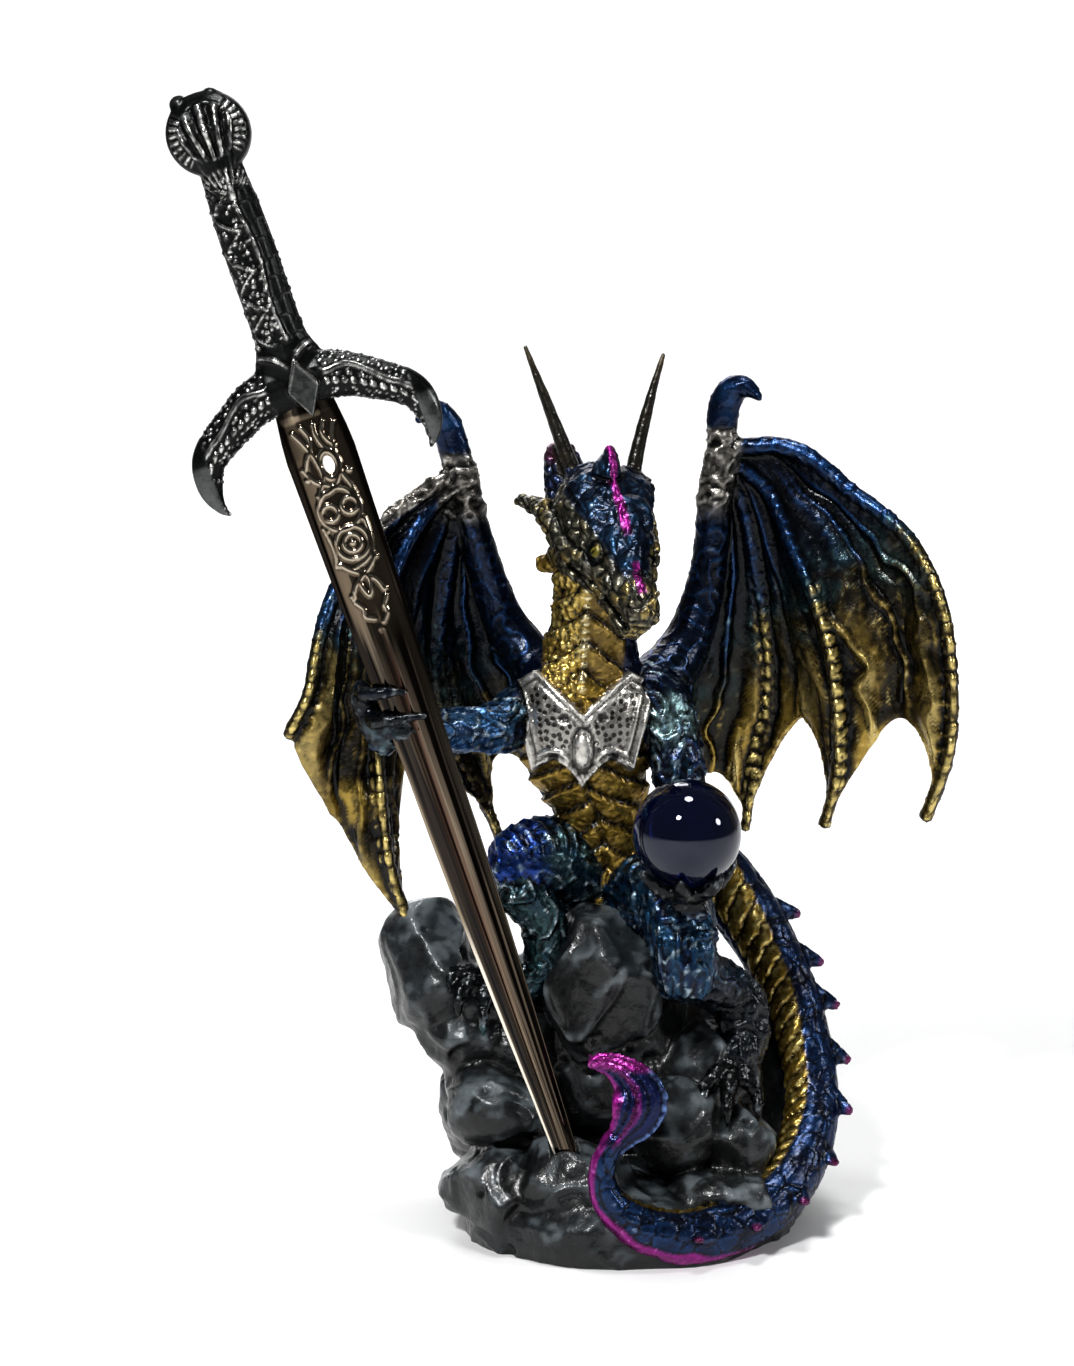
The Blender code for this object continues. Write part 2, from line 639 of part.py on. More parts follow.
def wing(clay, plan):
    """An arm, its claw, fingers from the wrist and the skin between them."""
    arm = [(x, y, z, r, r) for x, y, z, r in plan["arm"]]
    clay.limb(arm, FRONT, sides=10)
    hook = [(*p, r, r * 0.9) for p, r in zip(plan["hook"], (2.9, 3.0, 2.9, 2.2, 0.7))]
    clay.limb(hook, FRONT, sides=10)
    curves = [along_finger(rows, 33) for rows in plan["fingers"]]
    reach = np.linspace(0.0, 1.0, 21)
    share = np.linspace(0.0, 1.0, 11)
    for first, second, scallop in zip(curves, curves[1:], plan["scallops"]):
        cut = 1.0 - scallop * np.sin(math.pi * share) ** 0.75
        travel = 0.03 + reach[None, :] * cut[:, None] * 0.96
        near, far = between(first, travel), between(second, travel)
        grid = near + (far - near) * share[:, None, None]
        belly = np.sin(math.pi * share)[:, None] * np.sin(math.pi * 0.5 * travel) * SAG
        grid = grid + np.array(plan["back"]) * belly[..., None]
        clay.slab(grid, np.full(grid.shape[:2], MEMBRANE))
    for number, curve in enumerate(curves[:3]):
        rows = []
        for share_along in np.linspace(0.0, 1.0, 8):
            thick = 2.5 - 1.1 * share_along - 0.2 * number + 0.5 * share_along**6
            rows.append([*between(curve, share_along), thick, thick])
        clay.limb(rows, (0.0, -1.0, 0.15), sides=8, per_span=3)


def casting_clay():
    clay = Clay()
    rocks(clay)
    torso(clay)
    head(clay)
    neck_thorns(clay)
    arms(clay)
    orb_fingers(clay)
    sword_fingers(clay)
    legs(clay)
    tail(clay)
    wing(clay, RIGHT_WING)
    wing(clay, LEFT_WING)
    return clay


def sword_matrix():
    """From the sword's own frame, its tip at the origin and its hilt up +Z, to its place."""
    tilt = Euler((-SWORD_LEAN_BACK, -SWORD_LEAN_LEFT, 0.0)).to_matrix().to_4x4()
    mouth = Vector(SLOT_MOUTH * UNIT)
    tip = mouth - tilt.to_3x3() @ Vector((0.0, 0.0, SLOT_DEPTH))
    return Matrix.Translation(tip) @ tilt


def blade_half_width(height):
    """Half the blade's width at a height above its tip."""
    return np.interp(height / BLADE_LENGTH, BLADE_STATIONS, BLADE_WIDTHS) * BLADE_WIDTH / 2


def sword_spot(x, y, z):
    """A place beside the blade at the claw, in figure millimetres.

    x is across the blade from its middle, y behind it, and z along it.
    """
    place = sword_matrix()
    lean = place.to_3x3() @ Vector((0.0, 0.0, 1.0))
    height = (GRIP_HEIGHT * UNIT - place.translation.z) / lean.z
    return np.array(place @ (Vector((x, y, z)) * UNIT + Vector((0.0, 0.0, height)))) / UNIT


def blade_half_units():
    """Half the blade's width at the claw, in figure millimetres."""
    height = (GRIP_HEIGHT - SLOT_MOUTH[2]) * UNIT / math.cos(SWORD_LEAN_LEFT) + SLOT_DEPTH
    return blade_half_width(height) / UNIT


def sword_fingers(clay):
    """The right claw: a palm beside the blade, two claws over its front and a thumb."""
    half = blade_half_units()
    deep = BLADE_THICKNESS / 2 / UNIT
    left = -(half + 2.4)
    clay.limb(
        (
            (*sword_spot(left + 0.4, deep + 2.4, -6.0), 2.2, 2.4),
            (*sword_spot(left - 0.4, deep + 1.8, -1.0), 3.4, 3.4),
            (*sword_spot(left - 0.6, deep + 1.8, 4.0), 3.0, 3.0),
            (*sword_spot(left - 0.2, deep + 2.0, 7.0), 1.6, 1.8),
        ),
        FRONT,
        sides=10,
    )
    for level, reach in ((-0.6, 0.5), (4.4, 0.1)):
        clay.limb(
            (
                (*sword_spot(left, deep + 1.6, level + 0.6), 2.1, 2.1),
                (*sword_spot(left + 0.3, -0.2, level + 0.9), 1.9, 1.9),
                (*sword_spot(-half * 0.85, -deep - 1.6, level + 0.6), 1.6, 1.5),
                (*sword_spot(-half * 0.35, -deep - 1.6, level), 1.2, 1.1),
                (*sword_spot(half * reach, -deep - 1.2, level - 0.9), 0.5, 0.5),
            ),
            UP,
            sides=8,
        )
    clay.limb(
        (
            (*sword_spot(left, deep + 2.2, 0.0), 2.2, 2.2),
            (*sword_spot(0.0, deep + 2.0, 1.0), 2.0, 1.7),
            (*sword_spot(half + 1.6, deep + 1.4, 1.6), 1.6, 1.4),
            (*sword_spot(half + 2.2, -0.6, 1.2), 0.7, 0.7),
        ),
        UP,
        sides=8,
    )


def plate_band(across, height):
    """How far a point on the chest lies inside the breastplate's outline."""
    side = np.abs(across)
    collar = np.where(side < 8.0, 95.5 + 7.0 * side / 8.0, 102.5 - 0.8 * (side - 8.0))
    arch = 84.2 + 1.8 * side / 8.2 + 3.4 * np.sin(math.pi * np.minimum(side / 8.2, 1.0))
    flank = 8.4 + (height - 86.0) * 0.29
    return np.minimum(np.minimum(collar - height, height - arch), flank - side)


def belly_steps(across, height):
    """Rows of overlapping belly scales in two columns, as a sawtooth from 0 to 1."""
    pitch = np.where(height > 96, 6.4, 4.6)
    slant = np.where(height > 96, -0.75, 0.55)
    return np.mod((height + slant * np.abs(across)) / pitch, 1.0)


def vertex_arrays(mesh):
    """The mesh's points and normals, as arrays of rows."""
    points = np.empty(len(mesh.vertices) * 3)
    normals = np.empty(len(mesh.vertices) * 3)
    mesh.vertices.foreach_get("co", points)
    mesh.vertices.foreach_get("normal", normals)
    return points.reshape(-1, 3), normals.reshape(-1, 3)


def carve(mesh):
    """Raises the breastplate, its rim and boss, and the belly scales."""
    points, normals = vertex_arrays(mesh)
    x, y, z = points.T
    across = x - CHEST_X
    trunk = (np.abs(across) < 13.6) & (y < 0.5) & (y > -14.5) & (z > 58) & (z < 116)
    inside = plate_band(across, z)
    plate = np.clip(inside / 0.5, 0.0, 1.0) * 0.9 + 0.5 * (np.abs(inside - 0.9) < 0.7)
    boss = np.clip(1.0 - (across / 1.9) ** 2 - ((z - 90.0) / 3.2) ** 2, 0.0, 1.0)
    plate = plate + 1.3 * np.sqrt(boss)
    middle = x - np.interp(z, (60, 72, 86, 100, 116), (-6.4, -8.4, -10.8, -10.4, -9.2))
    scales = (belly_steps(middle, z) - 0.3) * 1.3
    scales *= np.clip((6.6 - np.abs(middle)) / 1.2, 0.0, 1.0)
    scales[np.abs(middle) < 0.5] -= 0.6
    lift = np.where(inside > 0, plate, np.where(normals[:, 1] < -0.35, scales, 0.0))
    lift = np.where(trunk, lift, 0.0)
    mesh.vertices.foreach_set("co", (points + normals * lift[:, None]).ravel())
    mesh.update()


def made(name, mesh, material):
    """A node in the scene with this mesh and material."""
    mesh.materials.clear()
    mesh.materials.append(material)
    node = bpy.data.objects.new(name, mesh)
    bpy.context.scene.collection.objects.link(node)
    return node


def evaluated_mesh(node):
    graph = bpy.context.evaluated_depsgraph_get()
    return bpy.data.meshes.new_from_object(node.evaluated_get(graph))


def as_cutter(node):
    node.hide_render = True
    node.display_type = "WIRE"
    return node


def cut_away(node, cutter, name):
    """Takes a cutter's shape out of a node."""
    cut = node.modifiers.new(name, "BOOLEAN")
    cut.operation = "DIFFERENCE"
    cut.solver = "EXACT"
    cut.object = cutter


def box_cutter(name, low, high):
    """A hidden box between two corners."""
    low, high = Vector(low), Vector(high)
    form = bmesh.new()
    bmesh.ops.create_cube(form, size=1.0)
    bmesh.ops.scale(form, vec=high - low, verts=form.verts)
    bmesh.ops.translate(form, vec=(low + high) / 2, verts=form.verts)
    mesh = bpy.data.meshes.new(name)
    form.to_mesh(mesh)
    form.free()
    node = bpy.data.objects.new(name, mesh)
    bpy.context.scene.collection.objects.link(node)
    return as_cutter(node)


def detail_weights(node):
    """A vertex group that keeps more facets on the head, chest and claws."""
    points, _ = vertex_arrays(node.data)
    keep = np.zeros(len(points))
    for centre, reach in (((-6, -8, 126), 19), ((-11, -8, 90), 14), ((6, -28, 68), 8)):
        distance = np.linalg.norm(points - centre, axis=1)
        keep = np.maximum(keep, np.clip((reach - distance) / 3.0, 0.0, 1.0))
    claw = np.linalg.norm(points - sword_spot(-4.0, 0.0, 0.0), axis=1)
    keep = np.maximum(keep, np.clip((11 - claw) / 3.0, 0.0, 1.0))
    group = node.vertex_groups.new(name="thin")
    for level in range(5):
        chosen = np.nonzero(np.round(keep * 4) == level)[0]
        group.add(chosen.tolist(), 1.0 - 0.22 * level, "REPLACE")
    return group.name


def fused(name, clay, voxel, material):
    """The clay's shells as one closed mesh, on a node in figure millimetres."""
    rough = made("clay", clay.mesh("clay"), material)
    remesh = rough.modifiers.new("Fuse", "REMESH")
    remesh.mode = "VOXEL"
    remesh.voxel_size = voxel
    mesh = evaluated_mesh(rough)
    bpy.data.objects.remove(rough, do_unlink=True)
    return made(name, mesh, material)


def without_specks(mesh):
    """The mesh with only its largest body: thinning can pinch off the tip of a thorn."""
    form = bmesh.new()
    form.from_mesh(mesh)
    left = set(form.verts)
    bodies = []
    while left:
        body, edge = [], [left.pop()]
        while edge:
            vertex = edge.pop()
            body.append(vertex)
            near = {link.other_vert(vertex) for link in vertex.link_edges} & left
            left -= near
            edge.extend(near)
        bodies.append(body)
    bodies.sort(key=len)
    for body in bodies[:-1]:
        bmesh.ops.delete(form, geom=body, context="VERTS")
    form.to_mesh(mesh)
    form.free()
    return mesh


def thinned(node, faces, group=""):
    """The node's mesh with about that many facets, and scaled to metres."""
    thin = node.modifiers.new("Facets", "DECIMATE")
    thin.ratio = faces / (2 * len(node.data.polygons))
    thin.vertex_group = group
    thin.vertex_group_factor = DETAIL_FACTOR
    mesh = without_specks(evaluated_mesh(node))
    node.modifiers.clear()
    node.vertex_groups.clear()
    mesh.transform(Matrix.Scale(UNIT, 4))
    node.data = mesh


def casting(material):
    """The dragon and its rocks, fused, carved, thinned and cut flat underneath."""
    node = fused("dragon_on_rocks", casting_clay(), VOXEL_UNITS, material)
    carve(node.data)
    thinned(node, CASTING_FACES, detail_weights(node))
    span = FIGURE_HEIGHT
    ground = box_cutter("ground_cutter", (-span, -span, -span), (span, span, 0.0))
    cut_away(node, ground, "Flat underside")
    return node


def lathe_section(profile, sides):
    """Rings for a closed solid: rows of height and a list of section points."""
    form = bmesh.new()
    rings = []
    for height, section in profile:
        rings.append([form.verts.new((x, y, height)) for x, y in section])
    for low, high in zip(rings, rings[1:]):
        for i in range(sides):
            j = (i + 1) % sides
            form.faces.new((low[i], low[j], high[j], high[i]))
    form.faces.new(list(reversed(rings[0])))
    form.faces.new(rings[-1])
    bmesh.ops.recalc_face_normals(form, faces=form.faces)
    return form


def blade_section(half_width, grow=0.0):
    """Eight corners: a flat middle on both faces, bevelled to thin edges."""
    wide = half_width + grow
    flat = half_width * 0.42
    thick = BLADE_THICKNESS / 2 + grow
    edge = BLADE_EDGE / 2 + grow
    quarter = [(wide, -edge), (wide, edge), (flat, thick), (-flat, thick)]
    return quarter + [(-wide, edge), (-wide, -edge), (-flat, -thick), (flat, -thick)]


def blade_form(grow=0.0, below=0.0):
    """The blade along +Z from its tip, with a tang at the top."""
    rows = [(-below, blade_section(blade_half_width(0.0), grow))] if below else []
    for share in BLADE_STATIONS:
        height = share * BLADE_LENGTH
        rows.append((height, blade_section(blade_half_width(height), grow)))
    neck = blade_section(TANG_WIDTH / 2, grow)
    rows.append((BLADE_LENGTH + grow + FIT_CLEARANCE, neck))
    rows.append((BLADE_LENGTH + TANG_LENGTH + grow, neck))
    return lathe_section(rows, 8)


def blade(material, place):
    """The blade, pierced by an eyelet near the guard."""
    form = blade_form()
    mesh = bpy.data.meshes.new("sword_blade")
    form.to_mesh(mesh)
    form.free()
    node = made("sword_blade", mesh, material)
    node.matrix_world = place
    hole = bmesh.new()
    bmesh.ops.create_cone(hole, cap_ends=True, segments=12, radius1=0.5, radius2=0.5, depth=1.0)
    quarter = Matrix.Rotation(math.pi / 2, 3, "X")
    bmesh.ops.rotate(hole, cent=(0, 0, 0), matrix=quarter, verts=hole.verts)
    size = (EYELET_WIDTH, BLADE_THICKNESS * 4, EYELET_HEIGHT)
    bmesh.ops.scale(hole, vec=size, verts=hole.verts)
    across, up = EYELET_PLACE
    spot = (BLADE_WIDTH * across, 0.0, BLADE_LENGTH * up)
    bmesh.ops.translate(hole, vec=spot, verts=hole.verts)
    cut_away(node, form_cutter("eyelet_cutter", hole, place), "Eyelet")
    return node


def guard_arm(clay, side):
    """One arm of the guard: it slopes down, then turns in as a smooth claw."""
    span, drop = GUARD_SPAN / 2 / UNIT, GUARD_DROP / UNIT
    thick, deep = GUARD_THICKNESS / 2 / UNIT, GUARD_DEPTH / 2 / UNIT
    rows = []
    for across, down, size in (
        (0.0, -0.05, 1.24),
        (0.22, -0.03, 1.22),
        (0.40, 0.04, 1.10),
        (0.58, 0.17, 1.0),
        (0.76, 0.32, 0.92),
        (0.865, 0.48, 0.80),
        (0.90, 0.72, 0.60),
        (0.875, 0.90, 0.32),
        (0.82, 1.02, 0.10),
    ):
        rows.append((side * across * span, 0.0, -down * drop, thick * size, deep * min(size, 1.0)))
    clay.limb(rows, FRONT, sides=10, per_span=3)


def hilt(material, place):
    """Guard, grip and pommel cast as one, fused and thinned like the figure."""
    grip, width, depth = (v / UNIT for v in (GRIP_LENGTH, GRIP_WIDTH / 2, GRIP_DEPTH / 2))
    deep = GUARD_DEPTH / 2 / UNIT
    clay = Clay()
    clay.limb(
        (
            (0, 0, -1.0, width * 1.50, deep),
            (0, 0, 3.6, width * 1.46, deep * 1.1),
            (0, 0, 7.2, width * 1.10, depth * 0.95),
            (0, 0, 11.5, width * 0.98, depth),
            (0, 0, grip * 0.66, width, depth),
            (0, 0, grip * 0.86, width * 0.94, depth),
            (0, 0, grip, width * 0.84, depth),
            (0, 0, grip + 3, width * 0.8, depth),
        ),
        FRONT,
        sides=8,
        square=1.25,
    )
    for side in (-1, 1):
        guard_arm(clay, side)
    jewel = ((0, 0, -5.4), (2.7, 0, 0), (0, 0, 4.0), (-2.7, 0, 0))
    centre = np.array([0.0, -deep * 0.6, -0.2])
    outer = [centre + p for p in jewel]
    inner = [centre + np.array(p) * 0.6 + (0, -2.0, 0) for p in jewel]
    back = [centre + np.array(p) * 0.6 + (0, 2.0, 0) for p in jewel]
    faces = [[0, 1, 5, 4], [1, 2, 6, 5], [2, 3, 7, 6], [3, 0, 4, 7], [4, 5, 6, 7]]
    faces += [[1, 0, 8, 9], [2, 1, 9, 10], [3, 2, 10, 11], [0, 3, 11, 8], [11, 10, 9, 8]]
    clay.add(outer + inner + back, faces)
    pommel(clay, grip, width, depth)
    node = fused("sword_hilt", clay, HILT_VOXEL_UNITS, material)
    thinned(node, HILT_FACES)
    node.matrix_world = place @ Matrix.Translation((0, 0, BLADE_LENGTH + GUARD_THICKNESS * 0.47))
    return node


def pommel(clay, grip, width, depth):
    """A thick disc seen from its edge and a long crested head down its front."""
    radius, deep = POMMEL_DIAMETER / 2 / UNIT, POMMEL_DEPTH / 2 / UNIT
    top = grip + radius
    clay.limb(
        (
            (0, deep * 0.8, top, radius * 0.8, radius * 0.8),
            (0, deep * 0.4, top, radius, radius),
            (0, -deep * 0.4, top, radius, radius),
            (0, -deep * 0.8, top, radius * 0.8, radius * 0.8),
        ),
        UP,
        sides=16,
        per_span=2,
    )
    clay.limb(
        (
            (0, -depth * 0.8, grip - 4.5, width * 0.25, depth * 0.3),
            (0, -depth * 0.9, grip + 1.0, width * 0.62, depth * 0.5),
            (0, -depth * 0.8, top, width * 0.92, depth * 0.75),
            (0, 0, top + radius * 0.75, width * 1.05, depth * 0.9),
        ),
        FRONT,
        sides=8,
    )
    for across, rise in ((-0.56, 0.90), (0.0, 0.86), (0.50, 1.02)):
        x = across * radius
        clay.limb(
            (
                (x * 0.2, -depth, grip + 1.0, 1.0, 1.0),
                (x * 0.7, -depth * 1.25, top, 1.4, 1.3),
                (x, -depth * 0.4, top + radius * rise, 1.6, 1.5),
            ),
            FRONT,
            sides=8,
        )


def orb(material):
    """A solid glass ball."""
    form = bmesh.new()
    bmesh.ops.create_icosphere(form, subdivisions=3, radius=ORB_DIAMETER / 2)
    mesh = bpy.data.meshes.new("glass_orb")
    form.to_mesh(mesh)
    form.free()
    mesh.shade_smooth()
    node = made("glass_orb", mesh, material)
    node.location = orb_place() * UNIT
    return node


def form_cutter(name, form, place):
    """A hidden cutter of this form, set at its place."""
    mesh = bpy.data.meshes.new(name)
    form.to_mesh(mesh)
    form.free()
    node = bpy.data.objects.new(name, mesh)
    bpy.context.scene.collection.objects.link(node)
    node.matrix_world = place
    return as_cutter(node)


def slot_cutter(place):
    """The slot in the rocks: wider than the blade's tip, and as deep as it stands."""
    wide = blade_half_width(SLOT_DEPTH) + SLOT_CLEARANCE
    deep = BLADE_THICKNESS / 2 + SLOT_CLEARANCE
    node = box_cutter("slot_cutter", (-wide, -deep, -SLOT_CLEARANCE), (wide, deep, SLOT_DEPTH * 2))
    node.matrix_world = place
    return node


def main():
    clear_scene()
    painted = plain_finish("painted_resin", (0.05, 0.08, 0.17), 0.4, 0.6)
    pewter = plain_finish("antique_pewter", (0.30, 0.29, 0.27), 0.38, 1.0)
    chrome = plain_finish("smoked_chrome", (0.42, 0.38, 0.34), 0.14, 1.0)
    glass = plain_finish("blue_glass", (0.02, 0.05, 0.35), 0.02, 0.0, alpha=0.35)

    place = sword_matrix()
    dragon = casting(painted)
    blade(chrome, place)
    handle = hilt(pewter, place)
    orb(glass)

    clearance = form_cutter("blade_cutter", blade_form(FIT_CLEARANCE, BLADE_EDGE), place)
    cut_away(dragon, clearance, "Blade clearance")
    cut_away(handle, clearance, "Blade socket")
    cut_away(dragon, slot_cutter(place), "Sword slot")

    seat = bmesh.new()
    bmesh.ops.create_icosphere(seat, subdivisions=4, radius=ORB_DIAMETER / 2 + FIT_CLEARANCE)
    seat_place = Matrix.Translation(Vector(orb_place() * UNIT))
    cut_away(dragon, form_cutter("orb_cutter", seat, seat_place), "Orb seat")


main()
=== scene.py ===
# %% [markdown]
# # A cast dragon with a sword and a glass orb
# The real thing is a small painted ornament. A resin dragon crouches on rocks, one claw
# round a letter opener made as a sword, the other under a glass ball. This lesson builds
# its looks round a fixed frame: plain solids that say where each piece is. A frame like
# this could be traced by eye, but loading it keeps every size true.

import math

import bmesh
import bpy
import numpy as np
from mathutils import Euler, Matrix, Vector, noise


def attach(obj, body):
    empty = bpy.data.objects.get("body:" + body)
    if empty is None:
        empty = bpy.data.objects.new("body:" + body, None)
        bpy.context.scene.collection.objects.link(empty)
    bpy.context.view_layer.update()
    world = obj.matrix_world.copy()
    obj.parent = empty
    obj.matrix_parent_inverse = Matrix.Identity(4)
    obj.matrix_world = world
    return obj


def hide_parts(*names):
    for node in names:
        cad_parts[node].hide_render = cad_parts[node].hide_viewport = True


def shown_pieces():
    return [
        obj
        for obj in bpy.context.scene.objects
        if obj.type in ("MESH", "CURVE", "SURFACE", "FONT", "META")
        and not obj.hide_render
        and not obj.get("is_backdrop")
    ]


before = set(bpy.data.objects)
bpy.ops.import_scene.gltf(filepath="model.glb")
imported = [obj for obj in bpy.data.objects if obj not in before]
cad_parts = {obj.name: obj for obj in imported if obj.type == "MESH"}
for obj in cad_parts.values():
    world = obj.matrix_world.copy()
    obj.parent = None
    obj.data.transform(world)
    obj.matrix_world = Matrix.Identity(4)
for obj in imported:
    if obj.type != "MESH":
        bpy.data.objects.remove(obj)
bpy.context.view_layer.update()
bpy.ops.object.select_all(action="DESELECT")
MM = 0.001
print("The frame's nodes:", sorted(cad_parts))

# %% [markdown]
# ## The camera
# The photograph was taken from a little above, about half a metre away. The camera comes
# first, so that every later test render can be laid beside the photograph. A long lens
# from far off would flatten the wings, so the distance is as important as the direction.

# %% Place the camera
AIM = Vector((-19.43, 0.0, 99.19)) * MM
EYE = Vector((-19.4, -544.0, 180.5)) * MM
LENS = 53.09  # millimetres, for a picture 24 mm high
PICTURE_HEIGHT = 24.0

bpy.ops.object.camera_add(location=EYE)
camera = bpy.context.object
camera.rotation_euler = (AIM - EYE).to_track_quat("-Z", "Y").to_euler()
camera.data.sensor_fit = "VERTICAL"
camera.data.sensor_height = PICTURE_HEIGHT
camera.data.lens = LENS
camera.data.clip_start = 0.01
bpy.context.scene.camera = camera
print("Camera looks down by", round(math.degrees(math.atan2((EYE - AIM).z, -EYE.y)), 1), "degrees")

# %% [markdown]
# ## Small helpers for shapes
# A carved figure is awkward to extrude from a cube. A sculptor packs clay over wires, so
# the helpers do the same: a limb is a tube of rings along a smooth line, a slab is a
# sheet with a thickness, and a spike is a limb that tapers. The Skin modifier or curves
# with a bevel could do this too, but their sections are always round, and a dragon's
# muzzle and chest are not. All of these numbers are millimetres.

# %% Smooth lines
FRONT = (0.0, -1.0, 0.0)
UP = (0.0, 0.0, 1.0)
ROUND_END = 0.6  # how far a limb's end bulges, as a share of its smaller half
SPIKE_STEPS = ((0.0, 1.0), (0.35, 0.8), (0.7, 0.54))  # share of the way, share of the radius


def unit(vectors):
    """Each vector at length one."""
    vectors = np.asarray(vectors, float)
    length = np.linalg.norm(vectors, axis=-1, keepdims=True)
    return vectors / np.maximum(length, 1e-9)


def through(rows, per_span=4):
    """A smooth curve through rows of numbers: a place, and whatever follows it."""
    rows = np.array(rows, float)
    ends = np.vstack([2 * rows[0] - rows[1], rows, 2 * rows[-1] - rows[-2]])
    t = np.linspace(0.0, 1.0, per_span, endpoint=False)[:, None]
    spans = []
    for a, b, c, d in zip(ends, ends[1:], ends[2:], ends[3:]):
        curve = 2 * b + (c - a) * t + (2 * a - 5 * b + 4 * c - d) * t**2
        spans.append(0.5 * (curve + (3 * b - a - 3 * c + d) * t**3))
    return np.vstack(spans + [rows[-1:]])


def ring_frames(rows, facing):
    """The way along a line, the way across it and the way out to its front, at each ring."""
    middle = rows[:, :3]
    along = unit(np.gradient(middle, axis=0))
    facing = np.broadcast_to(facing(middle) if callable(facing) else facing, along.shape)
    across = unit(np.cross(facing, along))
    return along, across, unit(np.cross(along, across))


# %% Clay: closed shells gathered into one mesh
def tube_faces(rings, sides):
    """The faces of a closed tube: its rings come first, then the middles of its two ends."""
    last = (rings - 1) * sides
    bottom, top = rings * sides, rings * sides + 1
    faces = []
    for i in range(sides):
        j = (i + 1) % sides
        for ring in range(rings - 1):
            low, high = ring * sides, (ring + 1) * sides
            faces.append([low + i, low + j, high + j, high + i])
        faces.append([bottom, j, i])
        faces.append([top, last + i, last + j])
    return faces


class Clay:
    """Shells of clay. Each has its points and faces, and all share one numbering."""

    def __init__(self):
        self.points = []
        self.faces = []
        self.count = 0

    def add(self, points, faces):
        points = np.asarray(points, float)
        self.points.append(points)
        self.faces += [[self.count + i for i in face] for face in faces]
        self.count += len(points)

    def limb(self, rows, facing, sides=16, per_span=5, square=1.0):
        """A closed tube. Each row is a place, half a width and half a depth."""
        rows = through(rows, per_span)
        along, across, out = ring_frames(rows, facing)
        turn = np.arange(sides) * 2 * math.pi / sides
        width = np.sign(np.cos(turn)) * np.abs(np.cos(turn)) ** square
        depth = np.sign(np.sin(turn)) * np.abs(np.sin(turn)) ** square
        rings = (
            rows[:, None, :3]
            + across[:, None] * rows[:, 3, None, None] * width[None, :, None]
            + out[:, None] * rows[:, 4, None, None] * depth[None, :, None]
        )
        first = rows[0, :3] - along[0] * rows[0, 3:5].min() * ROUND_END
        last = rows[-1, :3] + along[-1] * rows[-1, 3:5].min() * ROUND_END
        points = np.vstack([rings.reshape(-1, 3), first, last])
        self.add(points, tube_faces(len(rows), sides))

    def spike(self, root, tip, radius, bend=(0.0, 0.0, 0.0), flat=1.0, blunt=0.2):
        """A horn, claw or thorn: a tapered tube that bows by the bend in its middle."""
        root, tip, bend = (np.array(p, float) for p in (root, tip, bend))
        rows = []
        for share, thick in (*SPIKE_STEPS, (1.0, blunt)):
            place = root + (tip - root) * share + bend * 4 * share * (1 - share)
            rows.append([*place, radius * thick, radius * thick * flat])
        self.limb(rows, FRONT if abs(unit(tip - root)[1]) < 0.8 else UP, sides=12, per_span=3)

    def slab(self, grid, thickness):
        """A closed sheet of that thickness over a grid of points."""
        normal = unit(np.cross(np.gradient(grid, axis=0), np.gradient(grid, axis=1)))
        rows, columns = grid.shape[:2]
        half = rows * columns
        lift = normal * thickness * 0.5
        faces = []
        for r in range(rows - 1):
            for c in range(columns - 1):
                a, b = r * columns + c, r * columns + c + 1
                d, e = a + columns, b + columns
                faces.append([a, d, e, b])
                faces.append([half + a, half + b, half + e, half + d])
        rim = [r * columns for r in range(rows)]
        rim += [(rows - 1) * columns + c for c in range(1, columns)]
        rim += [r * columns + columns - 1 for r in range(rows - 2, -1, -1)]
        rim += list(range(columns - 2, 0, -1))
        for a, b in zip(rim, rim[1:] + rim[:1]):
            faces.append([a, half + a, half + b, b])
        self.add(np.vstack([(grid + lift).reshape(-1, 3), (grid - lift).reshape(-1, 3)]), faces)

    def ball(self, centre, radius):
        """A small round ball."""
        form = bmesh.new()
        bmesh.ops.create_icosphere(form, subdivisions=3, radius=radius)
        points = np.array([vertex.co[:] for vertex in form.verts]) + centre
        self.add(points, [[vertex.index for vertex in face.verts] for face in form.faces])
        form.free()


# %% [markdown]
# ## From clay to one skin
# The shells overlap like lumps of clay pressed together. The Remesh modifier in voxel
# mode melts them into one closed skin of small even squares, which is just what fine
# carving needs. A Boolean union would keep the hard seams, and they would show.

# %% Fuse the shells and read the skin
# The squares of each skin in millimetres: small where a viewer looks closely
ROCK_VOXEL, BODY_VOXEL, HEAD_VOXEL = 0.59, 0.44, 0.28
TAIL_VOXEL, WING_VOXEL, HILT_VOXEL = 0.4, 0.43, 0.26


def only(*pieces):
    """Selects these objects and no others, and makes the first one active."""
    bpy.ops.object.select_all(action="DESELECT")
    for piece in pieces:
        piece.select_set(True)
    if pieces:
        bpy.context.view_layer.objects.active = pieces[0]


def apply_modifier(piece, kind, **settings):
    """Adds a modifier with its settings and applies it."""
    only(piece)
    modifier = piece.modifiers.new(kind.title(), kind)
    for name, value in settings.items():
        setattr(modifier, name, value)
    bpy.ops.object.modifier_apply(modifier=modifier.name)


def loose(name, clay):
    """A new object in the scene made of the clay's loose shells."""
    mesh = bpy.data.meshes.new(name)
    mesh.from_pydata(np.vstack(clay.points).tolist(), [], clay.faces)
    piece = bpy.data.objects.new(name, mesh)
    bpy.context.scene.collection.objects.link(piece)
    return piece


def fused(name, clay, voxel, relax=2):
    """One skin over all of the clay's shells."""
    piece = loose(name, clay)
    apply_modifier(piece, "REMESH", mode="VOXEL", voxel_size=voxel)
    apply_modifier(piece, "SMOOTH", factor=0.5, iterations=relax)
    print(name, "has", len(piece.data.vertices), "points")
    return piece


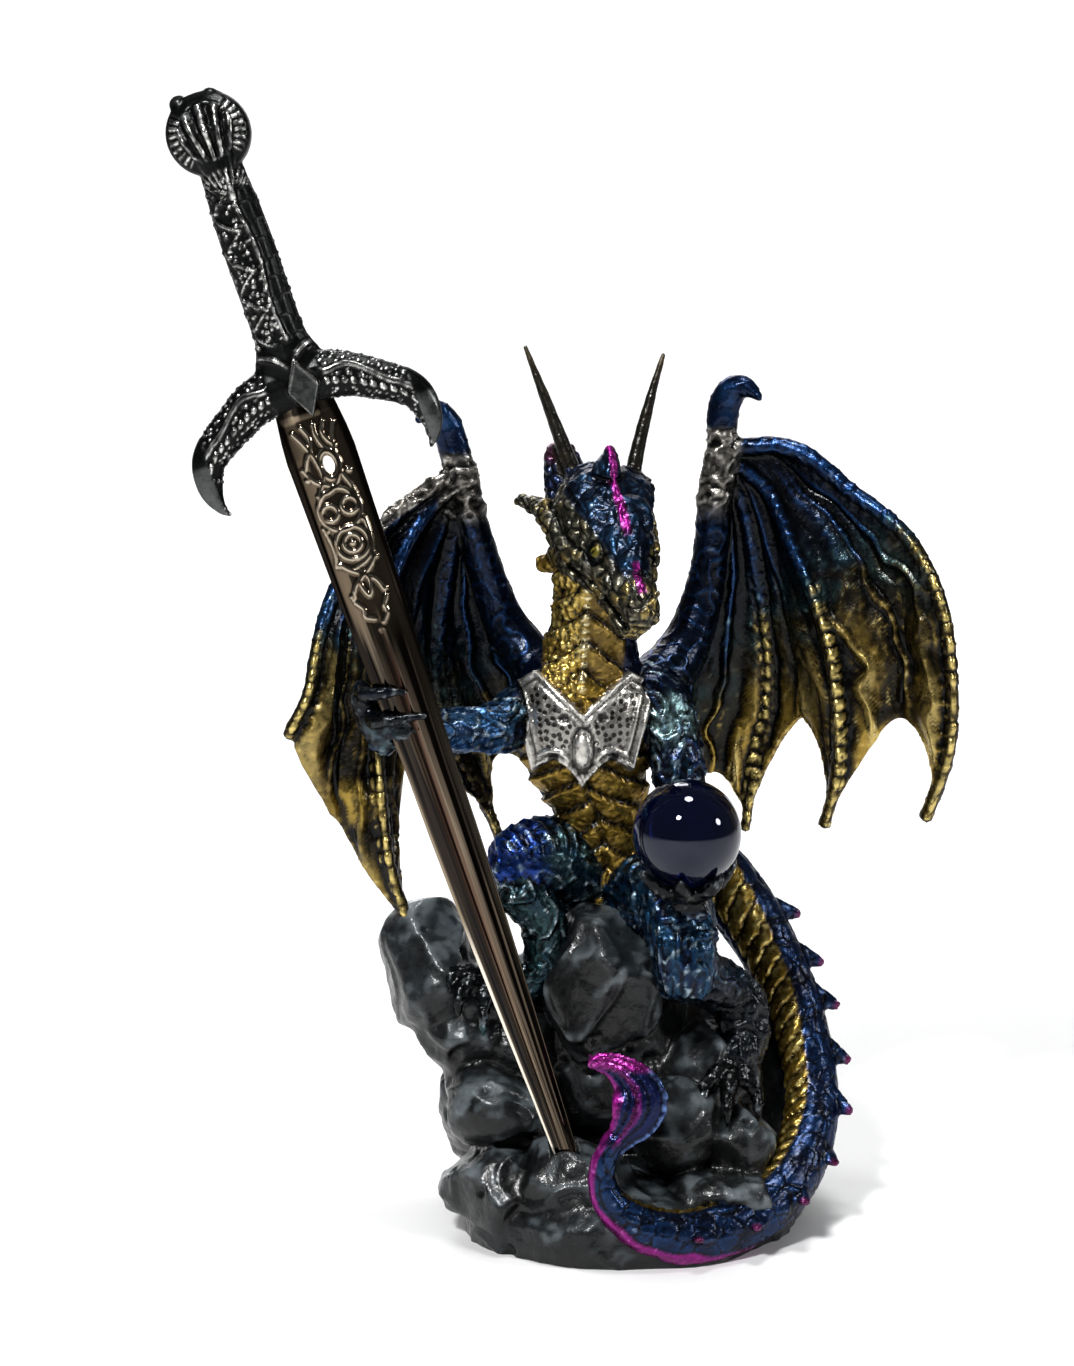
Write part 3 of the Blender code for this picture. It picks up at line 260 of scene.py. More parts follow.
def read_skin(piece):
    """The points of a mesh and the way each one faces."""
    count = len(piece.data.vertices)
    points, normals = np.empty(count * 3), np.empty(count * 3)
    piece.data.vertices.foreach_get("co", points)
    piece.data.vertices.foreach_get("normal", normals)
    return points.reshape(-1, 3), normals.reshape(-1, 3)


def press(piece, points):
    """Moves the points of a mesh to new places."""
    piece.data.vertices.foreach_set("co", np.asarray(points, float).ravel())
    piece.data.update()


# %% [markdown]
# ## Knowing where a point is on the dragon
# Scales run along a tail and round it, so carving needs to know how far along and how far
# round each point lies. A UV map could say it, but the skin is new and has none. Instead
# each point finds the nearest ring of the limb that it was made from.

# %% Read a place on a limb
BATCH = 8000  # points compared at one time, so that the table of distances stays small


def nearest(points, others):
    """For each point, which of the others is nearest."""
    found = np.empty(len(points), int)
    size = (others**2).sum(axis=1)
    for start in range(0, len(points), BATCH):
        part = points[start : start + BATCH]
        found[start : start + BATCH] = (size - 2 * part @ others.T).argmin(axis=1)
    return found


class Spine:
    """The middle line of a limb, with its frames."""

    def __init__(self, rows, facing, per_span=8):
        self.rows = through(rows, per_span)
        self.along, self.across, self.out = ring_frames(self.rows, facing)
        steps = np.linalg.norm(np.diff(self.rows[:, :3], axis=0), axis=1)
        self.travel = np.concatenate([[0.0], np.cumsum(steps)])

    def read(self, points):
        """How far along, side and front of the line, and how far out (1 is the surface)."""
        ring = nearest(points, self.rows[:, :3])
        offset = points - self.rows[ring, :3]
        way = (offset * self.along[ring]).sum(axis=1)
        side = (offset * self.across[ring]).sum(axis=1)
        front = (offset * self.out[ring]).sum(axis=1)
        width, depth = self.rows[ring, 3], self.rows[ring, 4]
        beyond = np.maximum(np.abs(way) - 2.0, 0.0) / np.minimum(width, depth)
        reach = np.hypot(side / width, front / depth) + beyond
        return {"along": self.travel[ring] + way, "side": side, "front": front,
                "turn": np.arctan2(side, front), "reach": reach,
                "share": ring / (len(self.rows) - 1)}


# %% [markdown]
# ## Patterns to carve
# Cast ornaments repeat a few marks: overlapping scales, pebbled skin, crumpled folds and
# rows of beads. Each is a small formula that says how high the surface stands. Sculpting
# brushes would give the same marks by hand, and a formula gives them the same each run.

# %% Height patterns
def ease(values, low, high):
    """0 below low and 1 above high, with a soft step between."""
    t = np.clip((values - low) / (high - low), 0.0, 1.0)
    return t * t * (3 - 2 * t)


def fade(values, low, high):
    """The other way round: 1 below low and 0 above high."""
    return 1 - ease(values, low, high)


def peak(values, width):
    """1 where the values are 0, falling off on both sides within that width."""
    return np.exp(-((values / width) ** 2))


def apart(points, spots):
    """How far each point is from a spot, or from its own one of many spots."""
    return np.linalg.norm(points - spots, axis=1)


def wobble(points, size, octaves=1, seed=0.0):
    """Smooth random heights from about -1 to 1, with lumps of that size."""
    places = (np.asarray(points) / size + seed).tolist()
    if octaves == 1:
        return np.array([noise.noise(p) for p in places]) * 2
    return np.array([noise.fractal(p, 1.0, 2.0, octaves) for p in places])


def pebbles(points, size, seed=0.0):
    """Distance inside the nearest pebble's border: 0 at the border and about 0.5 inside."""
    places = (np.asarray(points) / size + seed).tolist()
    near = np.array([noise.voronoi(p)[0][:2] for p in places])
    return near[:, 1] - near[:, 0]


def creases(points, size, octaves=2, seed=0.0, width=0.3):
    """Sharp winding ridges, as in crumpled foil: 1 on a crease and 0 between them."""
    return 1 - np.clip(np.abs(wobble(points, size, octaves, seed)) / width, 0.0, 1.0)


def dots(points, size, seed=0.0):
    """Distance to the nearest of many scattered dots, with that size as their spacing."""
    places = (np.asarray(points) / size + seed).tolist()
    return np.array([noise.voronoi(p)[0][0] for p in places])


def scales(along, around):
    """Overlapping scales in brick rows: how high each point of them stands, 0 to 1."""
    row = np.floor(along)
    beside = np.mod(around + 0.5 * np.mod(row - 1, 2), 1.0) * 2 - 1
    into = along - row + 1
    covered = into < 1.05 + 0.62 * np.sqrt(np.maximum(1 - beside**2, 0.0))
    own = np.mod(around + 0.5 * np.mod(row, 2), 1.0) * 2 - 1
    upper = 0.35 + 0.65 * into / 1.67 - 0.22 * beside**2
    lower = 0.35 + 0.65 * (into - 1) / 1.67 - 0.22 * own**2
    return np.where(covered, upper, lower)


# %% [markdown]
# ## Paint, laid on in coats
# The ornament is sprayed black, brushed with metallic colours, and then rubbed with a nearly dry brush, so
# gold and silver catch only the ridges while the hollows stay dark. The coats copy that and paint light too:
# lighter ridges and pale specks are painted highlights and glints, and black in the hollows and valleys is
# painted shade.
# The coats are kept as a colour for each point of the mesh. An image would need a UV map,
# and one flat colour would lose the brushing that makes the casting look real.

# %% Coats of paint
def linear(hex_code):
    """A colour written in sRGB hex, as the linear values that shaders use."""
    parts = np.array([int(hex_code[i : i + 2], 16) / 255 for i in (1, 3, 5)])
    return np.where(parts <= 0.04045, parts / 12.92, ((parts + 0.055) / 1.055) ** 2.4)


BLACK, PITCH, NAVY, BLUE, BRIGHT_BLUE = "#040506", "#08090b", "#0a142c", "#16305c", "#1b44a2"
STEEL = "#6f8f9c"
OLD_GOLD, GOLD, PALE_GOLD = "#4a3a14", "#94772c", "#e2cc7c"
SILVER, WHITE_SILVER = "#a29f99", "#e6e3dc"
MAGENTA, PINK = "#8c1878", "#e06acb"


class Coat:
    """The colour and the metallic value of every point, built up coat by coat."""

    def __init__(self, count, colour, metal=0.7):
        self.colour = np.tile(linear(colour), (count, 1))
        self.metal = np.full(count, metal)

    def lay(self, share, colour, metal=0.8):
        """Covers a share of each point, from 0 to 1, with this colour."""
        share = np.clip(share, 0.0, 1.0)
        self.colour += (linear(colour) - self.colour) * share[:, None]
        self.metal += (metal - self.metal) * share

    def keep(self, piece):
        """Stores the coats on the mesh, where a material can read them."""
        rows = np.column_stack([self.colour, np.ones(len(self.colour))])
        paint = piece.data.color_attributes.new("paint", "FLOAT_COLOR", "POINT")
        paint.data.foreach_set("color", rows.astype(np.float32).ravel())
        metal = piece.data.attributes.new("metal", "FLOAT", "POINT")
        metal.data.foreach_set("value", self.metal.astype(np.float32))


def evened(piece, values, rounds):
    """Values at a piece's points, each replaced by its neighbours' mean a few times over."""
    ends = np.empty(len(piece.data.edges) * 2, int)
    piece.data.edges.foreach_get("vertices", ends)
    a, b = ends.reshape(-1, 2).T
    count = len(values)
    degree = np.maximum(np.bincount(ends, minlength=count), 1)
    for _ in range(rounds):
        total = np.bincount(a, weights=values[b], minlength=count)
        total += np.bincount(b, weights=values[a], minlength=count)
        values = total / degree
    return values


def relief_map(piece, rounds):
    """How far each point stands proud of its neighbours: ridges above 0, hollows below."""
    points, normals = read_skin(piece)
    mean = np.stack([evened(piece, points[:, axis], rounds) for axis in range(3)], axis=1)
    return ((points - mean) * normals).sum(axis=1)


def finished(piece, coat, material, *nodes):
    """Scales a piece to metres, paints it, and hands it to the frame."""
    coat.keep(piece)
    piece.data.materials.clear()
    piece.data.materials.append(material)
    piece.data.transform(Matrix.Scale(MM, 4))
    piece.data.shade_smooth()
    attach(piece, "root")
    if nodes:
        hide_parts(*nodes)
    return piece


# %% [markdown]
# ## Materials
# Cast polyester resin is opaque and takes paint. Metallic acrylic over black, under a
# coat of gloss varnish, gives coloured reflections broken up by tiny lumps. The shader is
# a Principled BSDF whose colour and metallic value come from the painted coats.

# %% One function adds a node
def add_node(material, kind, values=None, links=None, **properties):
    """Adds a ShaderNode of that kind, sets its properties and free sockets, links the rest."""
    tree = material.node_tree
    node = tree.nodes.new("ShaderNode" + kind)
    for name, value in properties.items():
        setattr(node, name, value)
    for socket, value in (values or {}).items():
        node.inputs[socket].default_value = value
    for socket, source in (links or {}).items():
        tree.links.new(source, node.inputs[socket])
    return node


def new_material(name):
    """An empty node material with its Principled shader."""
    material = bpy.data.materials.new(name)
    material.use_nodes = True
    return material, material.node_tree.nodes["Principled BSDF"]


# %% Metallic paint under varnish, on cast resin
PATCH_MM = 1.5
PIT_DEPTH_MM = 0.35


def painted_resin(name, lump_mm, lump_depth, roughness, coat, pit_mm=0.0):
    """Paint from the mesh's coats, mottled, with lumps of real size and, if asked, punched pits."""
    material, shader = new_material(name)
    tree = material.node_tree
    place = add_node(material, "TexCoord").outputs["Object"]
    paint = add_node(material, "Attribute", attribute_name="paint")
    metal = add_node(material, "Attribute", attribute_name="metal")
    # Pigment settles unevenly: patches darker and lighter
    patches = add_node(material, "TexNoise",
                       {"Scale": 1 / (PATCH_MM * MM), "Detail": 4.0}, {"Vector": place})
    shade = add_node(material, "MapRange",
                     {"From Min": 0.3, "From Max": 0.7, "To Min": 0.7, "To Max": 1.15},
                     {"Value": patches.outputs["Fac"]})
    mixed = add_node(material, "VectorMath", None,
                     {0: paint.outputs["Color"], 1: shade.outputs["Result"]}, operation="MULTIPLY")
    tree.links.new(mixed.outputs["Vector"], shader.inputs["Base Color"])
    tree.links.new(metal.outputs["Fac"], shader.inputs["Metallic"])
    gloss = add_node(material, "MapRange",
                     {"From Min": 0.3, "From Max": 0.7, "To Min": roughness * 0.7,
                      "To Max": roughness * 1.35},
                     {"Value": patches.outputs["Fac"]})
    tree.links.new(gloss.outputs["Result"], shader.inputs["Roughness"])
    lumps = add_node(material, "TexNoise",
                     {"Scale": 1 / (lump_mm * MM), "Detail": 3.0, "Roughness": 0.6}, {"Vector": place})
    bump = add_node(material, "Bump", {"Strength": 0.9, "Distance": lump_depth * MM},
                    {"Height": lumps.outputs["Fac"]})
    tree.links.new(bump.outputs["Normal"], shader.inputs["Normal"])
    if pit_mm:
        # Punched pits lie where the mesh's "pitted" value is 1, half as wide as their spacing
        flat = add_node(material, "Mapping",
                        {"Rotation": (math.pi / 2, 0.0, 0.0)}, {"Vector": place})
        cells = add_node(material, "TexVoronoi",
                         {"Scale": 1 / (pit_mm * MM), "Randomness": 0.65},
                         {"Vector": flat.outputs["Vector"]}, voronoi_dimensions="2D")
        pitted = add_node(material, "Attribute", attribute_name="pitted")
        pit = add_node(material, "MapRange", {"From Min": 0.37, "From Max": 0.26, "To Max": 0.9},
                       {"Value": cells.outputs["Distance"]})
        depth = add_node(material, "Math", None,
                         {0: pit.outputs["Result"], 1: pitted.outputs["Fac"]}, operation="MULTIPLY")
        left_bare = add_node(material, "Math", {0: 1.0},
                             {1: depth.outputs["Value"]}, operation="SUBTRACT")
        darker = add_node(material, "VectorMath", None,
                          {0: mixed.outputs["Vector"], 1: left_bare.outputs["Value"]}, operation="MULTIPLY")
        tree.links.new(darker.outputs["Vector"], shader.inputs["Base Color"])
        dent = add_node(material, "Bump", {"Strength": 1.0, "Distance": PIT_DEPTH_MM * MM},
                        {"Height": left_bare.outputs["Value"], "Normal": bump.outputs["Normal"]})
        tree.links.new(dent.outputs["Normal"], shader.inputs["Normal"])
    tree.links.new(bump.outputs["Normal"], shader.inputs["Coat Normal"])
    # Dark paint and painted shade in the hollows are matt: a grey tint keeps them from mirroring the pale
    # floor
    shader.inputs["Specular Tint"].default_value = (0.4, 0.4, 0.4, 1.0)
    shader.inputs["Coat Weight"].default_value = coat
    shader.inputs["Coat Roughness"].default_value = 0.12
    return material


dragon_paint = painted_resin("varnished_metallic_paint", 0.9, 0.13, 0.3, 0.22)
body_paint = painted_resin("varnished_paint_and_punched_silver", 0.9, 0.13, 0.3, 0.22, pit_mm=1.3)
rock_paint = painted_resin("varnished_rock_paint", 1.4, 0.2, 0.36, 0.25)
print("Paints:", dragon_paint.name, body_paint.name, rock_paint.name)

# %% [markdown]
# ## The rocks
# On the real piece the rocks and the figure are one casting: resin poured into a rubber
# mould. A rock could be made by displacing a ball with noise, but that gives a potato.
# Broken stone has flat faces, so each ball is bisected by planes, as a chisel would do,
# and the corners are softened once all of them are fused.

# %% One boulder, chipped by planes
def boulder(centre, radii, seed, planes=18):
    """A ball cut by planes in seeded directions, at its size and place."""
    chance = np.random.RandomState(seed)
    cuts = unit(chance.normal(size=(planes, 3)))
    heights = chance.uniform(0.7, 0.95, planes)
    bpy.ops.mesh.primitive_ico_sphere_add(subdivisions=4, radius=1.0)
    stone = bpy.context.object
    bpy.ops.object.mode_set(mode="EDIT")
    for cut, height in zip(cuts, heights):
        bpy.ops.mesh.select_all(action="SELECT")
        bpy.ops.mesh.bisect(plane_co=cut * height, plane_no=cut, use_fill=True, clear_outer=True)
    bpy.ops.object.mode_set(mode="OBJECT")
    stone.scale = radii
    stone.location = centre
    bpy.ops.object.transform_apply(location=True, rotation=True, scale=True)
    return stone


BOULDERS = (
    ((-25, -14, 9), (12, 14, 10), 2),
    ((-14, -21, 8), (14, 12, 12), 3),
    ((-3, -24, 7), (12, 9, 8), 15),
    ((-27, -10, 24), (12, 13, 8.5), 4),
    ((-24, -3, 30), (13, 13, 12), 5),
    ((-33, -7, 37), (9, 10, 9), 16),
    ((-38.5, -6, 48), (10.5, 11, 12.5), 6),
    ((-28, -5, 42), (9, 10, 9), 7),
    ((-7.6, -8, 45), (12, 12, 15.5), 8),
    ((-5, 9, 28), (25, 20, 31), 9),
    ((12, -6, 28), (11, 12, 11), 10),
    ((15, -13, 16), (9.5, 9, 9.5), 11),
    ((5, -16, 21), (9, 9, 9), 17),
    ((20, 10, 18), (14, 17, 22), 12),
    ((-22, 14, 18), (16, 15, 22), 13),
    ((3, 20, 13), (24, 13, 17), 14),
    ((14, -22, 9), (11, 8, 6), 18),
)
stones = [boulder(*row) for row in BOULDERS]
print(len(stones), "boulders chipped")

# %% The low slab under the boulders
BASE_RINGS = ((-3.0, 0.96), (0.6, 0.99), (3.0, 1.0), (6.2, 0.99), (8.4, 0.94), (10.0, 0.84))


def base_radius(turn):
    """How far the base reaches in a direction: it is fullest at its front left."""
    return 32.6 + 2.4 * np.cos(turn + 2.4) + 1.6 * np.cos(2 * turn + 4.33)


def base_slab(clay):
    """A low slab with an uneven round outline."""
    sides = 80
    turn = np.arange(sides) * 2 * math.pi / sides
    uneven = 0.5 * np.sin(5 * turn + 1.0) + 0.4 * np.sin(9 * turn)
    rings = []
    for height, share in BASE_RINGS:
        reach = base_radius(turn) * share + uneven
        lift = 0.7 * np.sin(3 * turn + 0.6) * (height > 5.0)
        rings.append(np.stack([reach * np.cos(turn), reach * np.sin(turn), height + lift], axis=1))
    bottom, top = (0.0, 0.0, -3.0), (0.0, 0.0, 11.0)
    clay.add(np.vstack([*rings, [bottom], [top]]), tube_faces(len(rings), sides))


# %% Fuse the rocks, cut them flat and weather them
slab_clay = Clay()
base_slab(slab_clay)
rocks = loose("rock_base", slab_clay)
only(rocks)
for stone in stones:
    stone.select_set(True)
bpy.ops.object.join()
apply_modifier(rocks, "REMESH", mode="VOXEL", voxel_size=ROCK_VOXEL)
apply_modifier(rocks, "SMOOTH", factor=0.6, iterations=3)

points, normals = read_skin(rocks)
weather = 0.45 * wobble(points, 8, 2) + 0.5 * creases(points, 13, 1, seed=3, width=0.22)
weather += 0.14 * wobble(points, 3.2, 2, seed=9)
pits = fade(dots(points, 7.5, seed=4), 0.1, 0.24)
press(rocks, points + normals * (weather - pits)[:, None])

only(rocks)
bpy.ops.object.mode_set(mode="EDIT")
bpy.ops.mesh.select_all(action="SELECT")
bpy.ops.mesh.bisect(plane_co=(0, 0, 0), plane_no=(0, 0, -1), use_fill=True, clear_outer=True)
bpy.ops.object.mode_set(mode="OBJECT")
lowest = min(vertex.co.z for vertex in rocks.data.vertices)
print("Rocks:", len(rocks.data.polygons), "faces, lowest point", round(lowest, 3))

# %% [markdown]
# ## Where the sword stands
# The sword passes the claw and ends in a slot in the rocks, so its place is needed before
# the arm can be shaped. It is worked out once, as a matrix from the sword's own frame,
# tip at the origin and hilt up, to the figure.

# %% The sword's place
SLOT_MOUTH = np.array([-14.1, -24.0, 17.8])
SLOT_DEPTH = 4.5
SLOT_CLEARANCE = 0.6
LEAN_LEFT, LEAN_BACK = math.radians(18.95), math.radians(1.7)
GRIP_HEIGHT = 97.5
BLADE_LENGTH, BLADE_WIDTH, BLADE_THICKNESS, BLADE_EDGE = 145.0, 12.4, 2.6, 0.9
BLADE_STATIONS = (0.0, 0.044, 0.115, 0.197, 0.314, 0.459, 0.54, 0.683, 0.77, 0.94, 0.965, 1.0)
BLADE_WIDTHS = (0.28, 0.35, 0.41, 0.5, 0.61, 0.7, 0.72, 0.83, 0.92, 1.0, 0.96, 0.86)

tilt = Euler((-LEAN_BACK, -LEAN_LEFT, 0.0)).to_matrix().to_4x4()
tip_place = Vector(SLOT_MOUTH) - tilt.to_3x3() @ Vector((0.0, 0.0, SLOT_DEPTH))
sword_place = Matrix.Translation(tip_place) @ tilt
grip_up = (GRIP_HEIGHT - sword_place.translation.z) / (sword_place.to_3x3() @ Vector(UP)).z


def blade_half(height):
    """Half the blade's width at a height above its tip."""
    return np.interp(height / BLADE_LENGTH, BLADE_STATIONS, BLADE_WIDTHS) * BLADE_WIDTH / 2


def sword_spot(x, y, z):
    """A place by the blade at the claw: across it, behind it and along it."""
    return np.array(sword_place @ Vector((x, y, z + grip_up)))


def on_sword(points):
    """Points of the figure in the sword's own frame."""
    back = np.array(sword_place.inverted())
    return points @ back[:3, :3].T + back[:3, 3]


grip_half = blade_half((GRIP_HEIGHT - SLOT_MOUTH[2]) / math.cos(LEAN_LEFT) + SLOT_DEPTH)
print("The blade is", round(2 * grip_half, 1), "mm wide at the claw")

# %% Cut the slot that the sword stands in
slot_half = blade_half(SLOT_DEPTH) + SLOT_CLEARANCE
bpy.ops.mesh.primitive_cube_add(size=1.0)
slot_box = bpy.context.object
slot_box.scale = (2 * slot_half, BLADE_THICKNESS + 2 * SLOT_CLEARANCE,
                  2 * SLOT_DEPTH + SLOT_CLEARANCE)
slot_box.location = (0.0, 0.0, SLOT_DEPTH - SLOT_CLEARANCE / 2)
bpy.ops.object.transform_apply(location=True, rotation=True, scale=True)
slot_box.data.transform(sword_place)
apply_modifier(rocks, "BOOLEAN", operation="DIFFERENCE", solver="EXACT", object=slot_box)
bpy.data.objects.remove(slot_box)

# %% Paint the rocks, with painted light from above and painted shade in the hollows
points, normals = read_skin(rocks)
broad = relief_map(rocks, 40)
cloud = wobble(points, 11, 3, seed=2)
# How far a facet faces up and to the front, which sets the painted light below
facing_up = normals[:, 2] * 0.55 - normals[:, 1] * 0.25 + 0.3 * wobble(points, 6, 2)
blotch = wobble(points, 5, 3, seed=6)
rock_coat = Coat(len(points), "#0b0c0d", 0.0)
rock_coat.lay(ease(cloud, -0.4, 0.5) * 0.8, "#131618", 0.0)
# Painted light: facets that face up and to the front are lighter, as if lit from above
rock_coat.lay(ease(facing_up + 0.35 * cloud, 0.3, 0.8) * 0.85, "#24292b", 0.0)
rock_coat.lay(ease(facing_up + 0.7 * blotch, 0.5, 0.8) * ease(broad, -0.1, 0.5) * 0.8, "#565d61", 0.0)
rock_coat.lay(ease(facing_up - 0.8 * blotch, 0.75, 1) * 0.6, "#4a5155", 0.0)
# Lighter paint on the broad ridges: dry brush and painted highlight together
rock_coat.lay(ease(broad, 0.4, 1.2) * ease(blotch, -0.2, 0.4) * 0.6, "#6b7377", 0.0)
# Painted shade: black in the broad hollows
rock_coat.lay(ease(-broad, 0, 0.5) * 0.95, "#040505", 0.0)
finished(rocks, rock_coat, rock_paint, "dragon_on_rocks")

# %% [markdown]
# ## The body
# The trunk, arms and legs are limbs of clay. Each is a list of rows: a place, half a
# width and half a depth. The same rows build the shell and, later, tell each point of
# the skin which limb it belongs to, so the chest gets plates and the arms get folds.

# %% Rows of the trunk and limbs
PALM = np.array([6.6, -28.5, 67.0])
ORB_RADIUS = 9.5
orb_middle = PALM + np.array([0.0, 0.0, ORB_RADIUS + 0.5])
arm_reach = grip_half + 2.6

LIMBS = {
    "trunk": (((-5.5, 8, 48, 9.5, 10), (-6, 5, 57, 10.2, 9.6), (-6.4, 2.5, 65, 8.6, 8.2),
               (-6.6, 0.5, 72, 8, 7.4), (-8.2, -1, 79, 9, 8), (-10.2, -2, 86, 11.2, 9.4),
               (-11.2, -2, 93, 12.4, 10.2), (-10.8, -1, 99, 11.8, 9.4), (-9.8, -1, 104, 9.2, 8.2),
               (-9.2, -2, 110, 7.6, 7.4), (-9.2, -3, 116.5, 7.2, 7), (-9.4, -3, 123, 7, 7),
               (-9.6, -1, 130, 6.4, 6.8)), FRONT, 1),
    "sword arm": (((-16, 0, 96, 6.2, 6.4), (-21.5, -2.5, 94, 5.8, 6), (-26, -6, 92.2, 4.6, 4.8),
                   (-32, -11.5, 92.4, 3.9, 4.1), (*sword_spot(-arm_reach * 0.1, 3.4, -3.6), 3.4, 3.6),
                   (*sword_spot(-arm_reach, 3, -0.8), 3.3, 3.6)), UP, 1),
    "orb arm": (((-3, 1, 98, 5.4, 5.4), (2.8, 0, 96, 5.8, 5.8), (5.2, -3, 88.5, 5.2, 5.2),
                 (7, -6.5, 79.5, 4.6, 4.6), (8.8, -12, 72.5, 3.8, 4), (8.6, -19, 68.8, 3.4, 3.6),
                 (PALM[0] + 0.6, PALM[1] + 4.5, PALM[2] - 1.8, 4.4, 3),
                 (*(PALM - (0, 0, 2)), 5, 2.6)), (0.5, -0.6, 0.6), 1),
    "right thigh": (((-8, 5, 62, 8.4, 9), (-14, -1, 66, 7.8, 8.4), (-20, -7, 68, 6.8, 7.4),
                     (-25.4, -11.5, 67.4, 5, 5.8)), UP, 1),
    "right shin": (((-23.6, -10.5, 64, 5, 5.2), (-19, -9, 58.6, 4.6, 4.8),
                    (-17.8, -8.5, 52.5, 3.9, 4.2), (-19.2, -9.6, 47, 3.4, 3.8),
                    (-24, -12, 45, 3.4, 2.8), (-28.4, -14, 46, 3.6, 2.4)), FRONT, 1),
    "left thigh": (((-3, 4, 60, 8.4, 8.4), (1.5, -5, 61, 7.6, 7.8), (4.8, -12, 60, 6.6, 7),
                    (6.4, -17, 56, 5.6, 6.4), (7, -18.5, 50, 5.2, 5.6), (7.2, -18, 46.4, 4.4, 4.6)),
                   (1, 0, 0), 0.8),
    "left foot": (((7.8, -14.6, 50, 5, 5.2), (12, -10, 46, 4.8, 5), (17, -6.4, 42, 4.8, 5),
                   (18.4, -8.2, 35.5, 4.4, 4.6), (16.4, -12, 30.6, 4.8, 3.6)), (1, 0.3, 0), 1),
}
TOES = (
    ((-28.4, -14.0, 46.0), ((-34.8, -15.0, 48.6), (-33.4, -18.0, 45.6), (-29.0, -18.6, 42.8))),
    ((16.2, -12.4, 30.6), ((10.4, -17.4, 27.6), (14.6, -19.4, 26.0), (20.2, -17.2, 26.4))),
)


# %% Claws and thorns
def toes(clay):
    """Toes hooked over the rocks, each with a claw."""
    for heel, tips in TOES:
        for tip in tips:
            heel, tip = np.array(heel), np.array(tip)
            knuckle = heel + (tip - heel) * 0.62 + np.array([0.0, -0.6, 1.4])
            clay.limb(((*heel, 2.4, 2.4), (*knuckle, 1.9, 1.9), (*tip, 1.2, 1.2)), UP)
            clay.spike(tip + (0, 0.4, 0.6), tip + (0, -1.6, -4.0), 1.4, bend=(0, -0.9, 0.5))


def orb_fingers(clay):
    """Five claws that rise from the palm around the underside of the orb."""
    reach = ORB_RADIUS + 1.1
    for turn_deg, rise_deg in ((-100, 50), (-48, 56), (-150, 58), (20, 62), (95, 70)):
        turn = math.radians(turn_deg)
        rows = []
        for share, thick in ((0.0, 2.0), (0.35, 1.7), (0.7, 1.3), (1.0, 0.5)):
            rise = math.radians(10 + (rise_deg - 10) * share)
            way = (math.sin(rise) * math.cos(turn), math.sin(rise) * math.sin(turn), -math.cos(rise))
            rows.append([*(orb_middle + reach * np.array(way)), thick, thick])
        clay.limb(rows, (math.sin(turn), -math.cos(turn), 0.0))


def sword_fingers(clay):
    """The right claw: a palm beside the blade, two claws over its front and a thumb."""
    deep = BLADE_THICKNESS / 2
    left = -(grip_half + 2.4)
    palm = ((left + 0.4, deep + 2.4, -6.0, 1.9, 2.1), (left, deep + 1.8, -1.0, 2.7, 2.8),
            (left - 0.2, deep + 1.8, 4.0, 2.4, 2.5), (left, deep + 2.0, 7.0, 1.4, 1.6))
    clay.limb([(*sword_spot(x, y, z), w, h) for x, y, z, w, h in palm], FRONT)
    for level, reach in ((-0.6, 0.5), (4.4, 0.1)):
        claw = ((left, deep + 1.6, level + 0.6, 1.7, 1.7), (left + 0.6, -0.2, level + 0.9, 1.5, 1.5),
                (-grip_half * 0.85, -deep - 1.4, level + 0.6, 1.3, 1.2),
                (-grip_half * 0.35, -deep - 1.4, level, 1.0, 0.9),
                (grip_half * reach, -deep - 1.2, level - 0.9, 0.5, 0.5))
        clay.limb([(*sword_spot(x, y, z), w, h) for x, y, z, w, h in claw], UP)
    thumb = ((left, deep + 2.2, 0.0, 2.2, 2.2), (0.0, deep + 2.0, 1.0, 2.0, 1.7),
             (grip_half - 1.6, deep + 1.8, 1.4, 1.4, 1.3), (grip_half - 0.2, deep + 1.4, 1.2, 0.7, 0.7))
    clay.limb([(*sword_spot(x, y, z), w, h) for x, y, z, w, h in thumb], UP)


def back_thorns(clay):
    """Thorns down the back of the neck and the spine."""
    for height, back, size in ((123, 4.2, 4.2), (115, 4.6, 4.6), (107, 6.0, 4.8), (98, 8.0, 5.0),
                               (88, 8.4, 5.0), (78, 7.8, 4.6), (69, 9.8, 4.4)):
        clay.spike((-9.4, back - 1.5, height), (-9.4, back + size, height + 1.5), 2.2, flat=0.7)


# %% Fuse the body
body_clay = Clay()
for rows, facing, square in LIMBS.values():
    body_clay.limb(rows, facing, sides=20, square=square)
toes(body_clay)
orb_fingers(body_clay)
sword_fingers(body_clay)
back_thorns(body_clay)
body = fused("dragon_body", body_clay, BODY_VOXEL)


# %% [markdown]
# ## Carving the chest and belly
# The breastplate is a sheet of hammered silver with a beaded rim, cut in a V at the neck
# and in two arches below, with a boss between them. Under it run two columns of belly
# plates. All of it is low relief, so it is raised from the skin by height formulas
# rather than built as loose sheets, which would leave gaps at their edges. The small
# punched pits are finer than the skin's squares, so only they are left to the material.

# %% Heights for the breastplate and the belly
CHEST_X = -11.2


def plate_inside(across, height):
    """How far a point on the chest lies inside the breastplate's outline."""
    side = np.abs(across)
    collar = np.where(side < 8.0, 95.5 + 7.0 * side / 8.0, 102.5 - 0.8 * (side - 8.0))
    arch = 82.0 + 2.2 * side / 8.6 + 3.6 * np.sin(math.pi * np.minimum(side / 8.6, 1.0))
    flank = 9.0 + (height - 86.0) * 0.26
    return np.minimum(np.minimum(collar - height, height - arch), flank - side)


